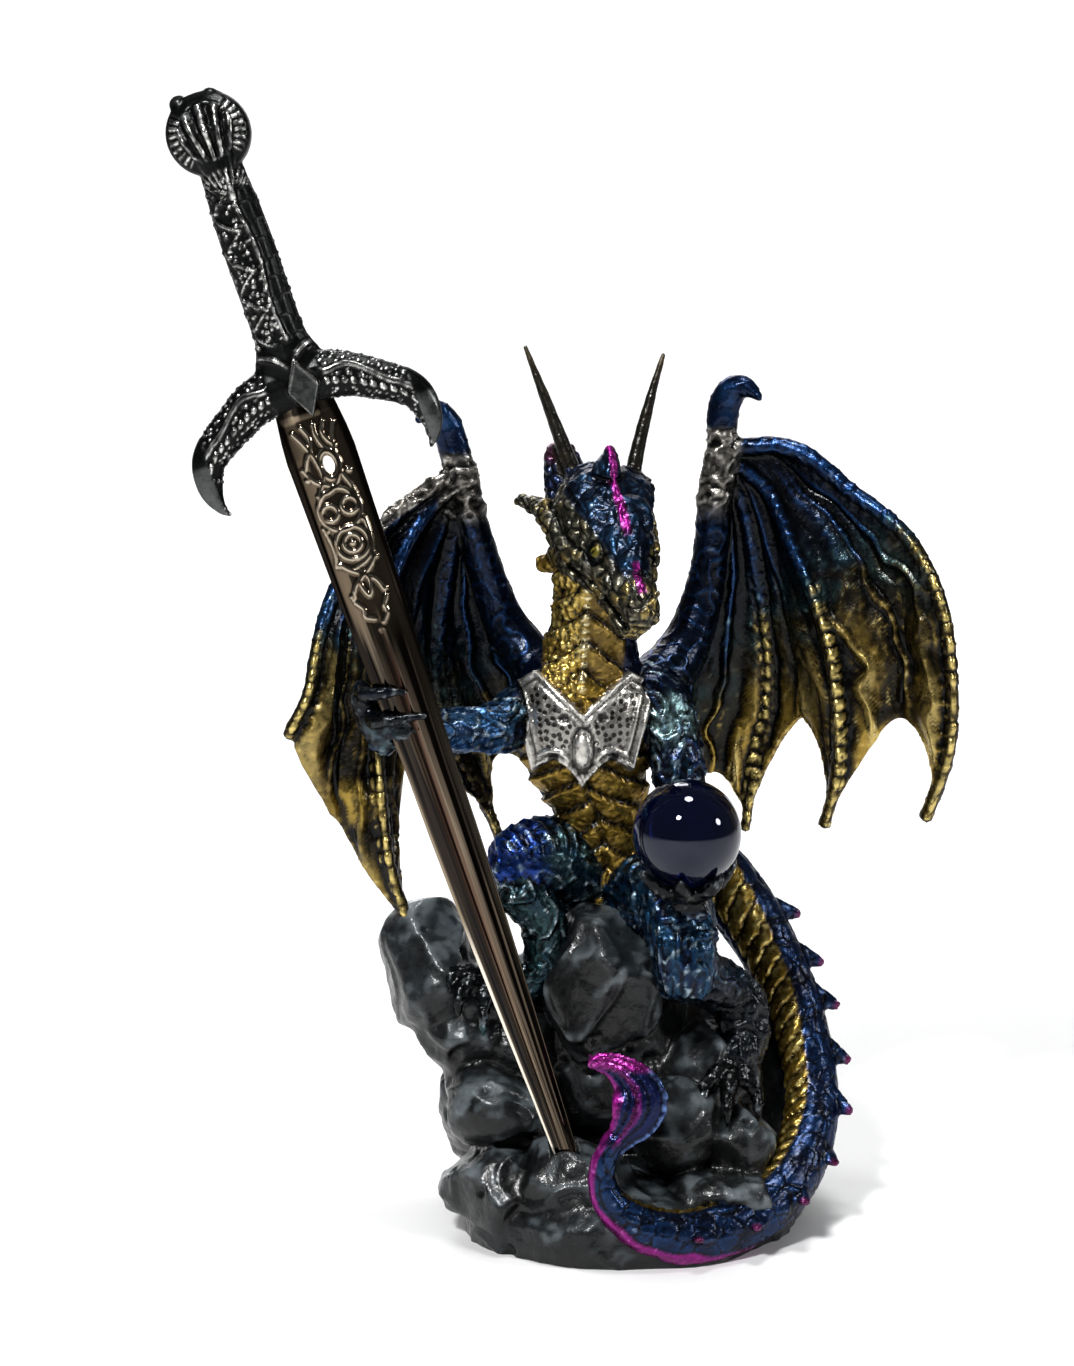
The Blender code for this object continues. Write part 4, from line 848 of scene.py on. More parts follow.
def plate_height(across, height):
    """The breastplate: a double rim, round hollows and a boss; how dark; and where it is punched."""
    inside = plate_inside(across, height)
    rim = peak(inside - 0.7, 0.55) * 0.65 + peak(inside - 2.2, 0.4) * 0.35
    groove = peak(inside - 1.5, 0.22) * 0.4
    field = ease(inside, 2.6, 3.1)
    side = np.abs(across)
    boss = np.sqrt(np.clip(1.0 - (across / 1.6) ** 2 - ((height - 89.0) / 3.3) ** 2, 0.0, 1.0))
    moat = peak(np.hypot(across / 1.6, (height - 89.0) / 3.3) - 1.22, 0.16) * 0.55
    holes = np.zeros(len(across))
    for spot, level in ((-3.2, 94.6), (3.2, 94.6), (-5.0, 87.4), (5.0, 87.4)):
        holes += np.exp(-(np.hypot(across - spot, (height - level) * 1.2) / 1.0) ** 4) * 0.6
    swirl = np.hypot(side - 5.0, (height - 86.6) * 1.15)
    scroll = peak(swirl - 2.5, 0.34) * ease(height, 85.8, 86.8) * 0.5
    lift = ease(inside, 0, 0.4) * 0.85 + rim + scroll - groove + field * 0.1 - moat - holes
    bare = (1 - np.minimum(scroll * 2, 1.0)) * fade(boss, 0, 0.2)
    lift = np.where(boss > 0, lift * (1 - boss) + boss * 2.2, lift)
    return lift, (holes + moat + groove) * bare, field * bare * fade(holes + moat, 0.05, 0.2)


def belly_height(across, height, points):
    """Two columns of overlapping plates, cracked like old leather, with a keel between."""
    on_neck = height > 98
    pitch = np.where(on_neck, 5.4, np.where(across > 0, 5.6, 4.4))
    slant = np.where(on_neck, 0.75, 0.55)
    stagger = np.where(on_neck | (across < 0), 0.0, 0.45)
    step = np.mod((height + slant * np.abs(across)) / pitch + stagger + 0.05 * wobble(points, 2.4), 1.0)
    plate = (step - 0.3) * 1.5
    gap = peak(np.minimum(step, 1 - step), 0.06) * 0.6
    cells = pebbles(points, 1.5, seed=5)
    cracks = ease(0.16 - cells, 0, 0.16) * 0.2
    beaded = on_neck * ease(-across, 0.6, 1.4)
    keel_beads = 0.6 + 0.4 * np.sin(height * 2 * math.pi / 1.5)
    keel = peak(across, 0.5) * np.where(on_neck, 0.9 * keel_beads, -0.8)
    relief = (plate - gap) * (1 - 0.4 * beaded) - cracks + beaded * 0.45 * ease(cells, 0, 0.45) + keel
    return relief, gap * (1 - 0.2 * beaded) + cracks * (1.0 + 1.5 * beaded)


# %% Which limb each point of the body belongs to
points, normals = read_skin(body)
readings = {}
for name, (rows, facing, square) in LIMBS.items():
    readings[name] = Spine(rows, facing).read(points)
names = list(LIMBS)
reach = np.stack([readings[name]["reach"] for name in names])
owner = reach.argmin(axis=0)
part = {name: owner == number for number, name in enumerate(names)}
x, y, z = points.T
trunk = part["trunk"]
claw_sword = apart(points, sword_spot(-2.0, 0.0, 1.5))
claw_orb = apart(points, orb_middle - (0, 0, 1.0))
feet = [apart(points, np.array(tips).mean(axis=0) - (0, 0, 0.5)) for _, tips in TOES]
claws = np.maximum.reduce([fade(claw_sword, 8, 10), fade(claw_orb, 12.6, 14),
                           *[fade(foot, 5.6, 7.6) for foot in feet]])
print("Points on each limb:", {name: int(mask.sum()) for name, mask in part.items()})

# %% Raise the relief of the body
BACK_SCALE_LENGTH, BACK_SCALE_WIDTH = 3.4, 3.6
across = x - CHEST_X
front_of_chest = trunk & (np.abs(across) < 13.6) & (y < 0.5) & (z > 79) & (z < 106)
inside = plate_inside(across, z)
on_plate = front_of_chest & (inside > 0)
plate, plate_dark, punched = plate_height(across, z)

middle = x - np.interp(z, (60, 72, 82, 100, 116, 126), (-5.6, -7.4, -10.6, -11.4, -10.4, -9.4))
belly, belly_dark = belly_height(middle, z, points)
belly_edge = np.interp(z, (58, 66, 73, 86, 94, 100, 112, 126), (6.0, 7.4, 10.5, 12.5, 9.0, 7.6, 7.4, 7.4))
on_belly = trunk & ~on_plate & (z > 55) & (z < 126) & (normals[:, 1] < -0.05)
belly_share = ease(belly_edge - np.abs(middle), 0, 1) * on_belly

back = readings["trunk"]
back_scales = scales(-back["along"] / BACK_SCALE_LENGTH, back["turn"] * 8.0 / BACK_SCALE_WIDTH)
local = np.zeros_like(points)
for name in names:
    own = np.stack([readings[name]["along"] * 0.65, readings[name]["side"], readings[name]["front"]], axis=1)
    local[part[name]] = own[part[name]]
crumple = 0.6 * creases(local, 3.4, 1, seed=1, width=0.35) + 0.24 * creases(local, 1.7, 2, seed=7) - 0.15
crumple *= 1 - 0.45 * part["right thigh"]
knee = apart(points, (-21.0, -8.0, 69.0))
ribs = np.sin(readings["right thigh"]["along"] * 2 * math.pi / 2.3) * 0.42
ribs *= part["right thigh"] * ease(normals[:, 2], 0.1, 0.6) * fade(knee, 8, 12)

lift = np.where(trunk, 0.55 * back_scales - 0.25 + 0.1 * wobble(points, 1), crumple - 0.15)
lift = lift * (1 - belly_share) + belly * belly_share
lift = np.where(on_plate, plate, lift) + ribs
lift = lift * (1 - 0.75 * claws) + 0.16 * claws * wobble(points, 0.9, 2, seed=2)
press(body, points + normals * lift[:, None])


# %% Keep the body clear of the blade and the orb
BODY_CLEARANCE = 0.25


def cleared(points):
    """Points moved out of the orb and the blade."""
    away = points - orb_middle
    distance = np.linalg.norm(away, axis=1)
    near = distance < ORB_RADIUS + BODY_CLEARANCE
    points[near] = orb_middle + unit(away[near]) * (ORB_RADIUS + BODY_CLEARANCE)
    local = on_sword(points)
    half = blade_half(local[:, 2]) + BODY_CLEARANCE
    deep = BLADE_THICKNESS / 2 + BODY_CLEARANCE
    near = (np.abs(local[:, 0]) < half) & (np.abs(local[:, 1]) < deep) & (local[:, 2] > 0)
    side = np.where(local[near, 1] < 0, -deep, deep)
    out = np.array(sword_place.to_3x3())[:, 1]
    points[near] += (side - local[near, 1])[:, None] * out
    return points


press(body, cleared(read_skin(body)[0]))

# %% [markdown]
# ## Painting the body
# The order is the painter's: black all over, then blue, then the dry brush on what stands proud, which also
# serves as painted highlight. Pale specks on the ridges are painted glints, and black in the hollows is
# painted shade. The relief map tells which points stand above their neighbours.

# %% Paint the body
fine, broad = relief_map(body, 3), relief_map(body, 14)
patch = wobble(points, 5, 3, seed=11)
speck = wobble(points, 1.4, 2, seed=12)
ridge = ease(fine, -0.02, 0.1)
hollow = ease(-fine, 0, 0.09)

coat = Coat(len(points), BLACK, 0.5)
coat.lay(np.where(trunk, 0.85, 0.9), NAVY, 0.85)
# Lighter blue on the ridges: dry brush and painted highlight together
coat.lay(ridge * ease(patch, -0.8, 0.6) * 0.7, BLUE, 0.9)
limb_blue = ~trunk
streak = wobble(local * (0.5, 1.0, 1.0), 2.2, 2, seed=15)
forearm = part["sword arm"] * ease(-x, 23, 27)
inner_thigh = part["right thigh"] * ease(x, -20, -15)
teal_share = np.select(
    [part["sword arm"], part["orb arm"], part["right shin"],
     part["right thigh"], part["left thigh"], part["left foot"]],
    [ease(streak, -0.5, 0.3) * 0.8, ease(streak, 0, 0.5) * 0.75, np.full(len(points), 0.8),
     inner_thigh * 0.8, ease(streak, -0.2, 0.5) * 0.7, ease(z, 44, 48) * 0.5], 0.2)
coat.lay(limb_blue * teal_share, "#17323f", 0.9)
coat.lay(part["left thigh"] * ease(streak, -0.6, 0.3) * 0.5, "#194466", 0.9)
coat.lay(part["right shin"] * ease(streak, -0.6, 0.4) * 0.7, "#2e4a4a", 0.9)
coat.lay(inner_thigh * ease(streak, -0.4, 0.4) * 0.7, "#46605f", 0.92)
coat.lay(forearm * ease(streak, -0.6, 0.3) * 0.75, "#3c6aa0", 0.95)
shoulder_patch = fade(apart(points, (4.4, -5.0, 93.0)), 3, 6.5)
coat.lay(part["orb arm"] * shoulder_patch * ease(streak, -0.7, 0.2) * 0.7, "#7fa0a0", 0.9)
outer_thigh = part["right thigh"] * fade(x, -21, -15)
coat.lay(outer_thigh * ease(crumple, -0.3, 0.2) * 0.65, BRIGHT_BLUE, 0.95)
# Painted glints: steel and near white specks on the ridges of the limbs
painted_glints = limb_blue * ridge * ease(speck, 0, 0.55)
coat.lay(painted_glints * np.where(part["left foot"], 0.15, 0.55), STEEL, 0.95)
glints = 0.4 + 0.5 * forearm + 0.5 * inner_thigh + 0.4 * part["right shin"]
coat.lay(painted_glints * ease(fine, 0.05, 0.14) * glints, "#d2e2ea", 0.95)
# Painted shade: the left foot is near black low down, where it lies in shadow
coat.lay(part["left foot"] * fade(z, 43, 49) * 0.92, "#090c0e", 0.4)
# Painted shade: black in the limbs' hollows and in their broad valleys
coat.lay(limb_blue * hollow * 0.9, BLACK, 0.85)
coat.lay(limb_blue * ease(-broad, 0.03, 0.35) * 0.7, BLACK, 0.85)
coat.lay(belly_share * 0.96, OLD_GOLD, 0.75)
coat.lay(belly_share * ease(belly, -0.4, 0.3) * ease(patch, -1.4, 0) * 0.9, GOLD, 0.9)
# Painted glints: pale gold specks on the ridges of the belly plates
coat.lay(belly_share * ridge * ease(speck, 0.1, 0.7) * 0.7, "#c4a654", 0.95)
neck_left = belly_share * ease(z, 98, 102) * ease(-middle, 0.2, 0.9)
neck_right = belly_share * ease(z, 98, 102) * ease(middle, 0.2, 0.9)
coat.lay(neck_right * (0.55 + 0.3 * ease(patch, -0.3, 0.5)), "#33270f", 0.8)
# Painted glints on the ridges of the neck plates, here and on the left side
coat.lay(neck_right * ridge * ease(speck, 0, 0.5) * 0.8, "#a88a42", 0.95)
coat.lay(neck_left * ease(belly, 0, 0.4) * 0.9, "#b89a48", 0.95)
coat.lay(neck_left * ridge * ease(speck, -0.3, 0.5) * 0.9, PALE_GOLD, 0.95)
keel = belly_share * ease(z, 98, 100) * fade(np.abs(middle), 0.4, 0.9)
coat.lay(keel * ridge * 0.9, "#f0e2b0", 0.95)
coat.lay(belly_share * (ease(belly_dark, 0.14, 0.4) + 0.25 * ease(-belly, 0.2, 0.6)), PITCH, 0.6)
silver = on_plate.astype(float)
coat.lay(silver, SILVER, 0.95)
# Painted highlight: near white on the breastplate's ridges
coat.lay(silver * ease(fine, 0.05, 0.16) * 0.8, WHITE_SILVER, 0.95)
coat.lay(silver * ease(plate_dark, 0.08, 0.3) * 0.97, "#0a0a0b", 0.4)
coat.lay(claws * 0.97, BLACK, 0.7)
# Painted highlight: grey glints on the ridges of the black claws
coat.lay(claws * ease(fine, 0.06, 0.16) * ease(speck, 0, 0.6) * 0.5, "#8d949a", 0.9)
palm = fade(apart(points, sword_spot(-grip_half - 1.5, 3.0, -3.0)), 3, 5.5)
coat.lay(palm * ease(speck, -0.5, 0.4) * 0.6, "#4f636b", 0.9)
pitted = body.data.attributes.new("pitted", "FLOAT", "POINT")
pitted.data.foreach_set("value", (silver * punched).astype(np.float32))
finished(body, coat, body_paint)
print("Body painted:", len(body.data.polygons), "faces")

# %% [markdown]
# ## The head
# The head has its own frame: forward down the muzzle, aside to the dragon's left, and up
# through the crown. Numbers in that frame stay readable, because an eye is 12.4 mm
# forward and 4.5 mm aside whichever way the dragon looks. It gets a finer skin than the
# body, since a viewer looks there first.

# %% The head's frame
HEAD_MIDDLE = np.array([-8.2, -4.0, 131.0])
MUZZLE = unit([7.2, -19.5, -15.5])
ASIDE = unit(np.cross(UP, MUZZLE))
CROWN = np.cross(MUZZLE, ASIDE)


def on_head(forward, aside, up):
    """A place on the figure, given in the head's frame."""
    return HEAD_MIDDLE + MUZZLE * forward + ASIDE * aside + CROWN * up


# %% Skull, jaw, brow mask, cheeks, crest and horns
head_clay = Clay()
skull = ((-6.5, 0.8, 6.2, 6), (-1.5, 0.4, 8.2, 7.2), (4, 0, 8.6, 6.8), (9, -0.4, 7.6, 6),
         (14, -0.6, 5.9, 4.9), (19, -0.8, 4.6, 4), (24, -0.9, 3.7, 3.3), (27.5, -1, 2.9, 2.6))
head_clay.limb([(*on_head(t, 0, u), w, h) for t, u, w, h in skull], CROWN, sides=20)
jaw = ((1, -7, 6.6, 3.4), (8, -6.6, 5.6, 3), (15, -6.2, 4.2, 2.5), (21, -6, 3.2, 2.1), (25.2, -6, 2.4, 1.8))
head_clay.limb([(*on_head(t, 0, u), w, h) for t, u, w, h in jaw], CROWN)


MASK_STEPS = (-4.5, -1, 4, 9, 14, 20)
MASK_HALVES = (6.2, 7.9, 7.3, 5.4, 3.5, 1.4)
MASK_ASIDE = (1.1, 1.3, 1.2, 0.9, 0.5, 0.0)


def brow_mask(clay):
    """A thick plate over the forehead that overhangs the eyes and tapers to the nose."""
    forward = np.linspace(-4.5, 20.0, 25)
    spread = np.linspace(-1.0, 1.0, 21)
    half = np.interp(forward, MASK_STEPS, MASK_HALVES)
    shift = np.interp(forward, MASK_STEPS, MASK_ASIDE)
    crown = np.interp(forward, (-4.5, 0, 6, 12, 20), (6.6, 8.0, 7.6, 5.9, 3.8))
    grid = np.empty((len(forward), len(spread), 3))
    for i, t in enumerate(forward):
        for j, s in enumerate(spread):
            droop = 3.4 * abs(s) ** 1.7 * half[i] / 8.9
            grid[i, j] = on_head(t - 1.8 * s * s, s * half[i] + shift[i], crown[i] - 0.6 - droop)
    clay.slab(grid, 1.9)


def eye_place(side):
    """The middle of an eye, tucked under the edge of the mask."""
    return on_head(12.4, 4.5 * side, 1.3)


def cheek(clay, side):
    """Two ridges that sweep back from the muzzle, each ending in a thorn, and an eye."""
    for ridge in (((21, 3.0, -1.2, 1.1, 1.1), (14, 5.4, -1.4, 1.7, 1.5), (7, 8.0, -2.2, 2.1, 1.8),
                   (0, 9.0, -2.4, 2.2, 1.9), (-5, 9.4, -3.0, 1.9, 1.7)),
                  ((18, 3.9, -4.4, 1.1, 1.1), (12, 5.6, -5.0, 1.6, 1.5), (6, 7.2, -6.4, 2.1, 1.8),
                   (2, 7.8, -8.2, 1.9, 1.7))):
        clay.limb([(*on_head(t, a * side, u), w, h) for t, a, u, w, h in ridge], ASIDE * side)
    for thorn in (((-3.5, 8.0, -2.8, 2.2), (-6.6, 10.2, -3.8, 1.7), (-9.0, 12.0, -4.8, 0.9)),
                  ((4.2, 6.2, -8.6, 2.2), (2.8, 8.2, -9.8, 1.9), (1.6, 9.8, -10.8, 1.2))):
        clay.limb([(*on_head(t, a * side, u), r, r) for t, a, u, r in thorn], CROWN)
    clay.ball(eye_place(side), 1.35)


brow_mask(head_clay)
for side in (-1, 1):
    cheek(head_clay, side)
    head_clay.spike(on_head(26.2, 1.5 * side, 0.6), on_head(24.4, 2.2 * side, 2.8), 1.2, blunt=0.5)
HORNS = (((-11.8, 0.0, 134.5), (-21.6, 4.2, 160.0), 1.75, (0.3, 0.2, -0.6)),
         ((-2.8, 0.0, 134.0), (3.4, 4.2, 158.6), 1.65, (-0.5, 0.2, -0.3)))
for root, tip, radius, bend in HORNS:
    head_clay.spike(root, tip, radius, bend=bend, blunt=0.27)
for forward, height, size in ((-2.5, 12.2, 2.1), (3.0, 9.2, 1.5), (8.0, 8.0, 1.3), (13.0, 6.4, 1.2),
                              (18.0, 4.9, 1.1), (22.5, 3.8, 1.0)):
    foot = on_head(forward + 1.4, 0, height - 4.4)
    head_clay.spike(foot, on_head(forward - 1.0, 0, height), size * 1.25, flat=1.5)
knob_rows = ((-13.6, 4, 132, 4.4, 3.6), (-14.6, 4.4, 138, 3.8, 3.2), (-15.4, 4.6, 141.8, 2.7, 2.4))
head_clay.limb(knob_rows, FRONT)
head_clay.spike((-10.6, 6.0, 132.0), (-11.6, 12.0, 137.0), 2.2, flat=1.4)
head = fused("dragon_head", head_clay, HEAD_VOXEL)

# %% Carve the head
HORN_STEPS = 40
points, normals = read_skin(head)
offset = points - HEAD_MIDDLE
forward, aside, up = offset @ MUZZLE, offset @ ASIDE, offset @ CROWN
crown_line = np.interp(forward, (-4.5, 0, 6, 12, 20, 27), (6.6, 8.0, 7.6, 5.9, 3.8, 1.6))
half_mask = np.interp(forward, MASK_STEPS, MASK_HALVES)
on_mask = np.abs(aside - np.interp(forward, MASK_STEPS, MASK_ASIDE))
horn_way = np.full(len(points), 9.0)
horn_along = np.zeros(len(points))
for root, tip, radius, bend in HORNS:
    shares = np.linspace(0.0, 1.0, HORN_STEPS)[:, None]
    line = np.array(root) + (np.array(tip) - root) * shares + np.array(bend) * 4 * shares * (1 - shares)
    which = nearest(points, line)
    away = apart(points, line[which])
    horn_along = np.where(away < horn_way, which / (HORN_STEPS - 1), horn_along)
    horn_way = np.minimum(horn_way, away)
horns = fade(horn_way, 2, 2.8) * ease(points[:, 2], 135, 138)
mask_share = ease(up - (crown_line - 5.2), 0, 1.2) * ease(half_mask + 1.2 - on_mask, 0, 0.8)
mask_share *= ease(forward, -6, -4) * fade(forward, 19.5, 21) * (1 - horns)
scale_cells = pebbles(np.stack([forward * 0.8, aside, up * 0.5], axis=1), 1.9, seed=2)
mask_lift = 0.14 * ease(scale_cells, 0, 0.4) + 0.36 * wobble(points, 3, 1) - 0.1
sweep_way = forward * 0.55 + up + np.abs(aside) * 0.35 + 0.9 * wobble(points, 4)
sweep = np.sin(sweep_way * 2 * math.pi / 2.3)
cheek_cells = pebbles(np.stack([forward * 0.7, aside, up], axis=1), 2.1, seed=6)
cheek_lift = 0.1 * sweep + 0.4 * ease(cheek_cells, 0, 0.5) - 0.2
mouth = peak(up + 4.3 + 0.09 * (forward - 8) * 0.4, 0.38) * ease(forward, 4, 8)
mouth *= ease(np.abs(aside), 0.5, 1.6)
eye_spots = [apart(points, eye_place(side)) for side in (-1, 1)]
eye_way = np.minimum(*eye_spots)
eyes = fade(eye_way, 1.4, 1.65) * (1 - mask_share)
sockets = peak(eye_way - 2.2, 0.7) * (1 - mask_share)
rings = 0.02 * np.sin(horn_along * 2 * math.pi * 9) + 0.05 * wobble(points * (1, 1, 0.4), 2.4, 1)
lift = mask_share * mask_lift + (1 - mask_share) * cheek_lift
lift = lift - mouth * 0.55 - sockets * 0.35
lift = lift * (1 - horns) + rings * horns
lift = lift * (1 - eyes)
press(head, points + normals * lift[:, None])

# %% Paint the head
fine, broad = relief_map(head, 3), relief_map(head, 16)
patch, speck = wobble(points, 4, 3, seed=3), wobble(points, 1, 2, seed=5)
ridge, hollow = ease(fine, -0.01, 0.06), ease(-fine, 0, 0.06)
coat = Coat(len(points), "#1c1b15", 0.55)
coat.lay(0.6 + 0.3 * patch, "#33322a", 0.75)
# Lighter paint on the ridges is dry brush and painted highlight together; the near white specks are painted
# glints
coat.lay(ridge * ease(speck, -0.4, 0.4) * 0.8, "#8a8470", 0.9)
coat.lay(ridge * ease(patch, 0, 0.5) * 0.75, "#a08a4c", 0.9)
coat.lay(ridge * ease(-patch, 0.2, 0.7) * ease(speck, 0, 0.6) * 0.8, WHITE_SILVER, 0.95)
coat.lay(ease(-up, 7, 9) * ease(-forward, -10, -4) * 0.8, GOLD, 0.9)
coat.lay(mask_share * 0.97, "#0b172a", 0.85)
# On the mask: lighter blue on what stands proud and on the ridges is painted highlight, and pale blue specks
# are painted glints
coat.lay(mask_share * ease(broad, -0.1, 0.4) * ease(patch, -0.8, 0.4) * 0.6, "#1b3854", 0.9)
coat.lay(mask_share * ridge * ease(patch, -0.6, 0.5) * 0.6, "#2b5278", 0.9)
coat.lay(mask_share * ridge * ease(speck, 0.45, 0.85) * 0.6, "#8fb0cc", 0.95)
behind = ease(-forward, 3, 6) * ease(up, -6, -3)
behind = behind * fade(np.abs(aside), 6.5, 8) * (1 - horns)
coat.lay(behind * 0.9, NAVY, 0.85)
coat.lay(behind * ridge * 0.6, BLUE, 0.9)
crest = fade(np.abs(aside), 0.5, 0.95) * ease(up - crown_line, -1.6, -0.4)
crest *= np.clip(ease(forward, -5, -3.5) - ease(forward, 11, 13.5) + ease(forward, 18, 19)
                 - ease(forward, 23.5, 24.5), 0, 1)
coat.lay(crest * 0.95, MAGENTA, 0.85)
coat.lay(crest * ease(speck, 0, 0.7) * 0.7, PINK, 0.8)
# Painted shade: black in the hollows, the mouth and the eye sockets
coat.lay(hollow * 0.8 + mouth * 0.8 + sockets * 0.8, BLACK, 0.8)
knob = fade(apart(points, (-15.8, 4.2, 142.0)), 2.6, 4.4)
coat.lay(knob * ridge * 0.5, "#7a4a6a", 0.8)
coat.lay(knob * 0.6, "#4a1f30", 0.7)
coat.lay(horns * 0.97, "#15130f", 0.5)
# Painted highlight on the rings of the horns
coat.lay(horns * ease(rings, 0.02, 0.1) * ease(patch, -0.3, 0.6) * 0.45, "#40382a", 0.85)
coat.lay(horns * ease(horn_along, 0.75, 1) * 0.4, "#5d523d", 0.8)
coat.lay(eyes, "#565010", 0.2)
pupil = np.zeros(len(points))
for side in (-1, 1):
    looking = points - eye_place(side)
    slit = np.hypot((looking @ MUZZLE - 0.25) / 0.32, (looking @ CROWN) / 1.2)
    pupil = np.maximum(pupil, fade(slit, 0.8, 1) * (looking @ ASIDE * side > 0.5) * eyes)
coat.lay(pupil, "#050505", 0.0)
finished(head, coat, dragon_paint)
print("Head painted:", len(head.data.polygons), "faces")

# %% [markdown]
# ## The tail
# One long limb that tapers, with thorns along its outer edge and a curled leaf at the
# end. A curve with a bevel would make the tube, but the thorns and the leaf have to grow
# out of it, so it is clay too. The belly band is gold and the outer ridge magenta.

# %% Rows of the tail
TAIL_ROWS = (
    (-2, 12, 58, 8.6, 8.6), (5, 16.5, 61.5, 8.2, 7.8), (13, 16.5, 60.5, 7.2, 6.9), (19.7, 13, 54, 6.4, 6.2),
    (24.6, 10, 46, 5.9, 5.7), (28.4, 6, 38, 5.5, 5.3), (30.6, 1, 29.2, 5.3, 5.1), (31.2, -5, 21.4, 5.1, 5),
    (28.8, -12.6, 14, 5.1, 5), (23.2, -20.4, 8.4, 5, 4.9), (15.6, -26.4, 5.8, 4.9, 4.7),
    (6.6, -30.8, 5, 4.7, 4.4), (-1.4, -32.8, 7.6, 3.9, 3.7), (-6.4, -33.4, 12, 2.9, 2.9),
    (-8, -33.4, 16.6, 2.3, 2.4), (-7.2, -33.2, 20.6, 2.1, 2.2), (-5.4, -33, 23.6, 2.1, 2.2),
)
TAIL_LEAF = ((-6, -33, 22.4, 1.4), (-4.2, -33, 24.8, 2.4), (-2.2, -32.8, 27.6, 4), (-1.4, -32.2, 30.6, 4.5),
             (-2.6, -31.4, 33.6, 3.4), (-5.8, -30.4, 36, 1.9), (-10.2, -29.6, 36.8, 0.7))
TAIL_ROOT = ((-11.5, 4, 66, 6, 6), (-8, 8.5, 61.5, 7.8, 7.8), (-1, 12.6, 58.4, 8.4, 8.4))
TAIL_THORNS = (0.2, 0.26, 0.32, 0.38, 0.44, 0.5, 0.56, 0.62, 0.68)


def outward(places):
    """The way out from the middle of the base, level."""
    return unit(places * (1.0, 1.0, 0.0) - (0.0, 4.0, 0.0))


def leaf_grid(columns):
    """Places over the leaf, from one edge to the other, and how far across each lies."""
    leaf = through(TAIL_LEAF, 10)
    along = unit(np.gradient(leaf[:, :3], axis=0))
    across = unit(np.cross(along, FRONT))
    spread = np.linspace(-1.0, 1.0, columns)
    grid = leaf[:, None, :3] + across[:, None] * leaf[:, 3, None, None] * spread[None, :, None]
    grid[..., 1] += (1 - spread**2)[None, :] * leaf[:, 3, None] * -0.3
    return grid, np.broadcast_to(spread, grid.shape[:2])


# %% Shape the tail
tail_clay = Clay()
tail_clay.limb(TAIL_ROWS, outward, sides=20)
tail_clay.limb(TAIL_ROOT, UP, sides=20)
path = through(TAIL_ROWS, 8)
out = outward(path[:, :3])
thorn_tips = []
for share in TAIL_THORNS:
    ring = int(share * (len(path) - 1))
    root, reach = path[ring, :3], path[ring, 4]
    along = unit(path[ring + 1, :3] - path[ring, :3])
    away = unit(out[ring] + (0.3, 0.0, 0.2))
    thorn_tips.append(root + away * (reach + 3.4 - 2.0 * share) + along * 2.2)
    tail_clay.spike(root + away * reach * 0.5 - along * 1.4, thorn_tips[-1], 3.0, flat=0.6, blunt=0.27)
grid, spread = leaf_grid(15)
tail_clay.slab(grid, 1.9)
tail = fused("dragon_tail", tail_clay, TAIL_VOXEL)

# %% Carve the tail
points, normals = read_skin(tail)
tail_read = Spine(TAIL_ROWS, outward).read(points)
tail_share = tail_read["share"]
leaf_spot = nearest(points, grid.reshape(-1, 3))
leaf_way = apart(points, grid.reshape(-1, 3)[leaf_spot])
leaf_across = spread.ravel()[leaf_spot]
on_leaf = fade(leaf_way, 1.4, 2) * ease(tail_share, 0.93, 0.98)
pitch = np.interp(tail_share, (0, 0.6, 0.85, 1.0), (3.4, 2.7, 2.0, 1.5))
rows_along = tail_read["along"] / pitch
tail_scales = scales(rows_along, tail_read["turn"] / (2 * math.pi) * 10)
turn = tail_read["turn"]
band_half = np.interp(tail_share, (0.1, 0.5, 0.62, 0.8), (0.66, 0.62, 0.5, 0.3))
band_place = np.interp(tail_share, (0.1, 0.5, 0.7, 0.8), (-2.35, -2.25, -1.85, -1.75))
band_way = np.abs(np.angle(np.exp(1j * (turn - band_place))))
band = fade(band_way, band_half - 0.08, band_half + 0.08) * fade(tail_share, 0.78, 0.84)
steps = np.mod(rows_along * 0.75 + 0.9 * (turn - band_place) + 0.1 * wobble(points, 2), 1.0)
band_lift = 0.6 * steps - 0.2 - 0.4 * peak(np.minimum(steps, 1 - steps), 0.1)
edge_place = np.interp(tail_share, (0.56, 0.7, 0.84, 1.0), (1.45, 1.05, 0.95, 0.7))
edge_way = np.abs(np.angle(np.exp(1j * (turn - edge_place + 0.12 * wobble(points, 5)))))
edge_half = np.interp(tail_share, (0.56, 0.68, 0.84, 1.0), (0.2, 0.52, 0.5, 0.42))
edge = fade(edge_way, edge_half - 0.06, edge_half + 0.06) * ease(tail_share, 0.56, 0.62)
edge = edge * (1 - on_leaf)
leather = np.stack([tail_read["along"] * 0.8, tail_read["side"], tail_read["front"]], axis=1)
plates = ease(pebbles(leather, 2.9, seed=3), 0, 0.12)
lift = 0.06 * (tail_scales - 0.45) + 0.22 * plates + 0.2 * wobble(leather * (0.5, 1.0, 1.0), 2, 2) - 0.2
lift = lift * (1 - band) + band_lift * band
lift = lift * (1 - edge) + (0.35 + 0.12 * wobble(points, 2.4, 1)) * edge
veins = 0.3 * peak(leaf_across, 0.13)
veins += 0.3 * peak(np.abs(leaf_across) - 0.88, 0.12)
veins += 0.16 * np.sin(leaf_across * 17.0)
lift = lift * (1 - on_leaf) + veins * on_leaf
carved = points + normals * lift[:, None]
carved[:, 2] = np.maximum(carved[:, 2], 0.05)
press(tail, carved)

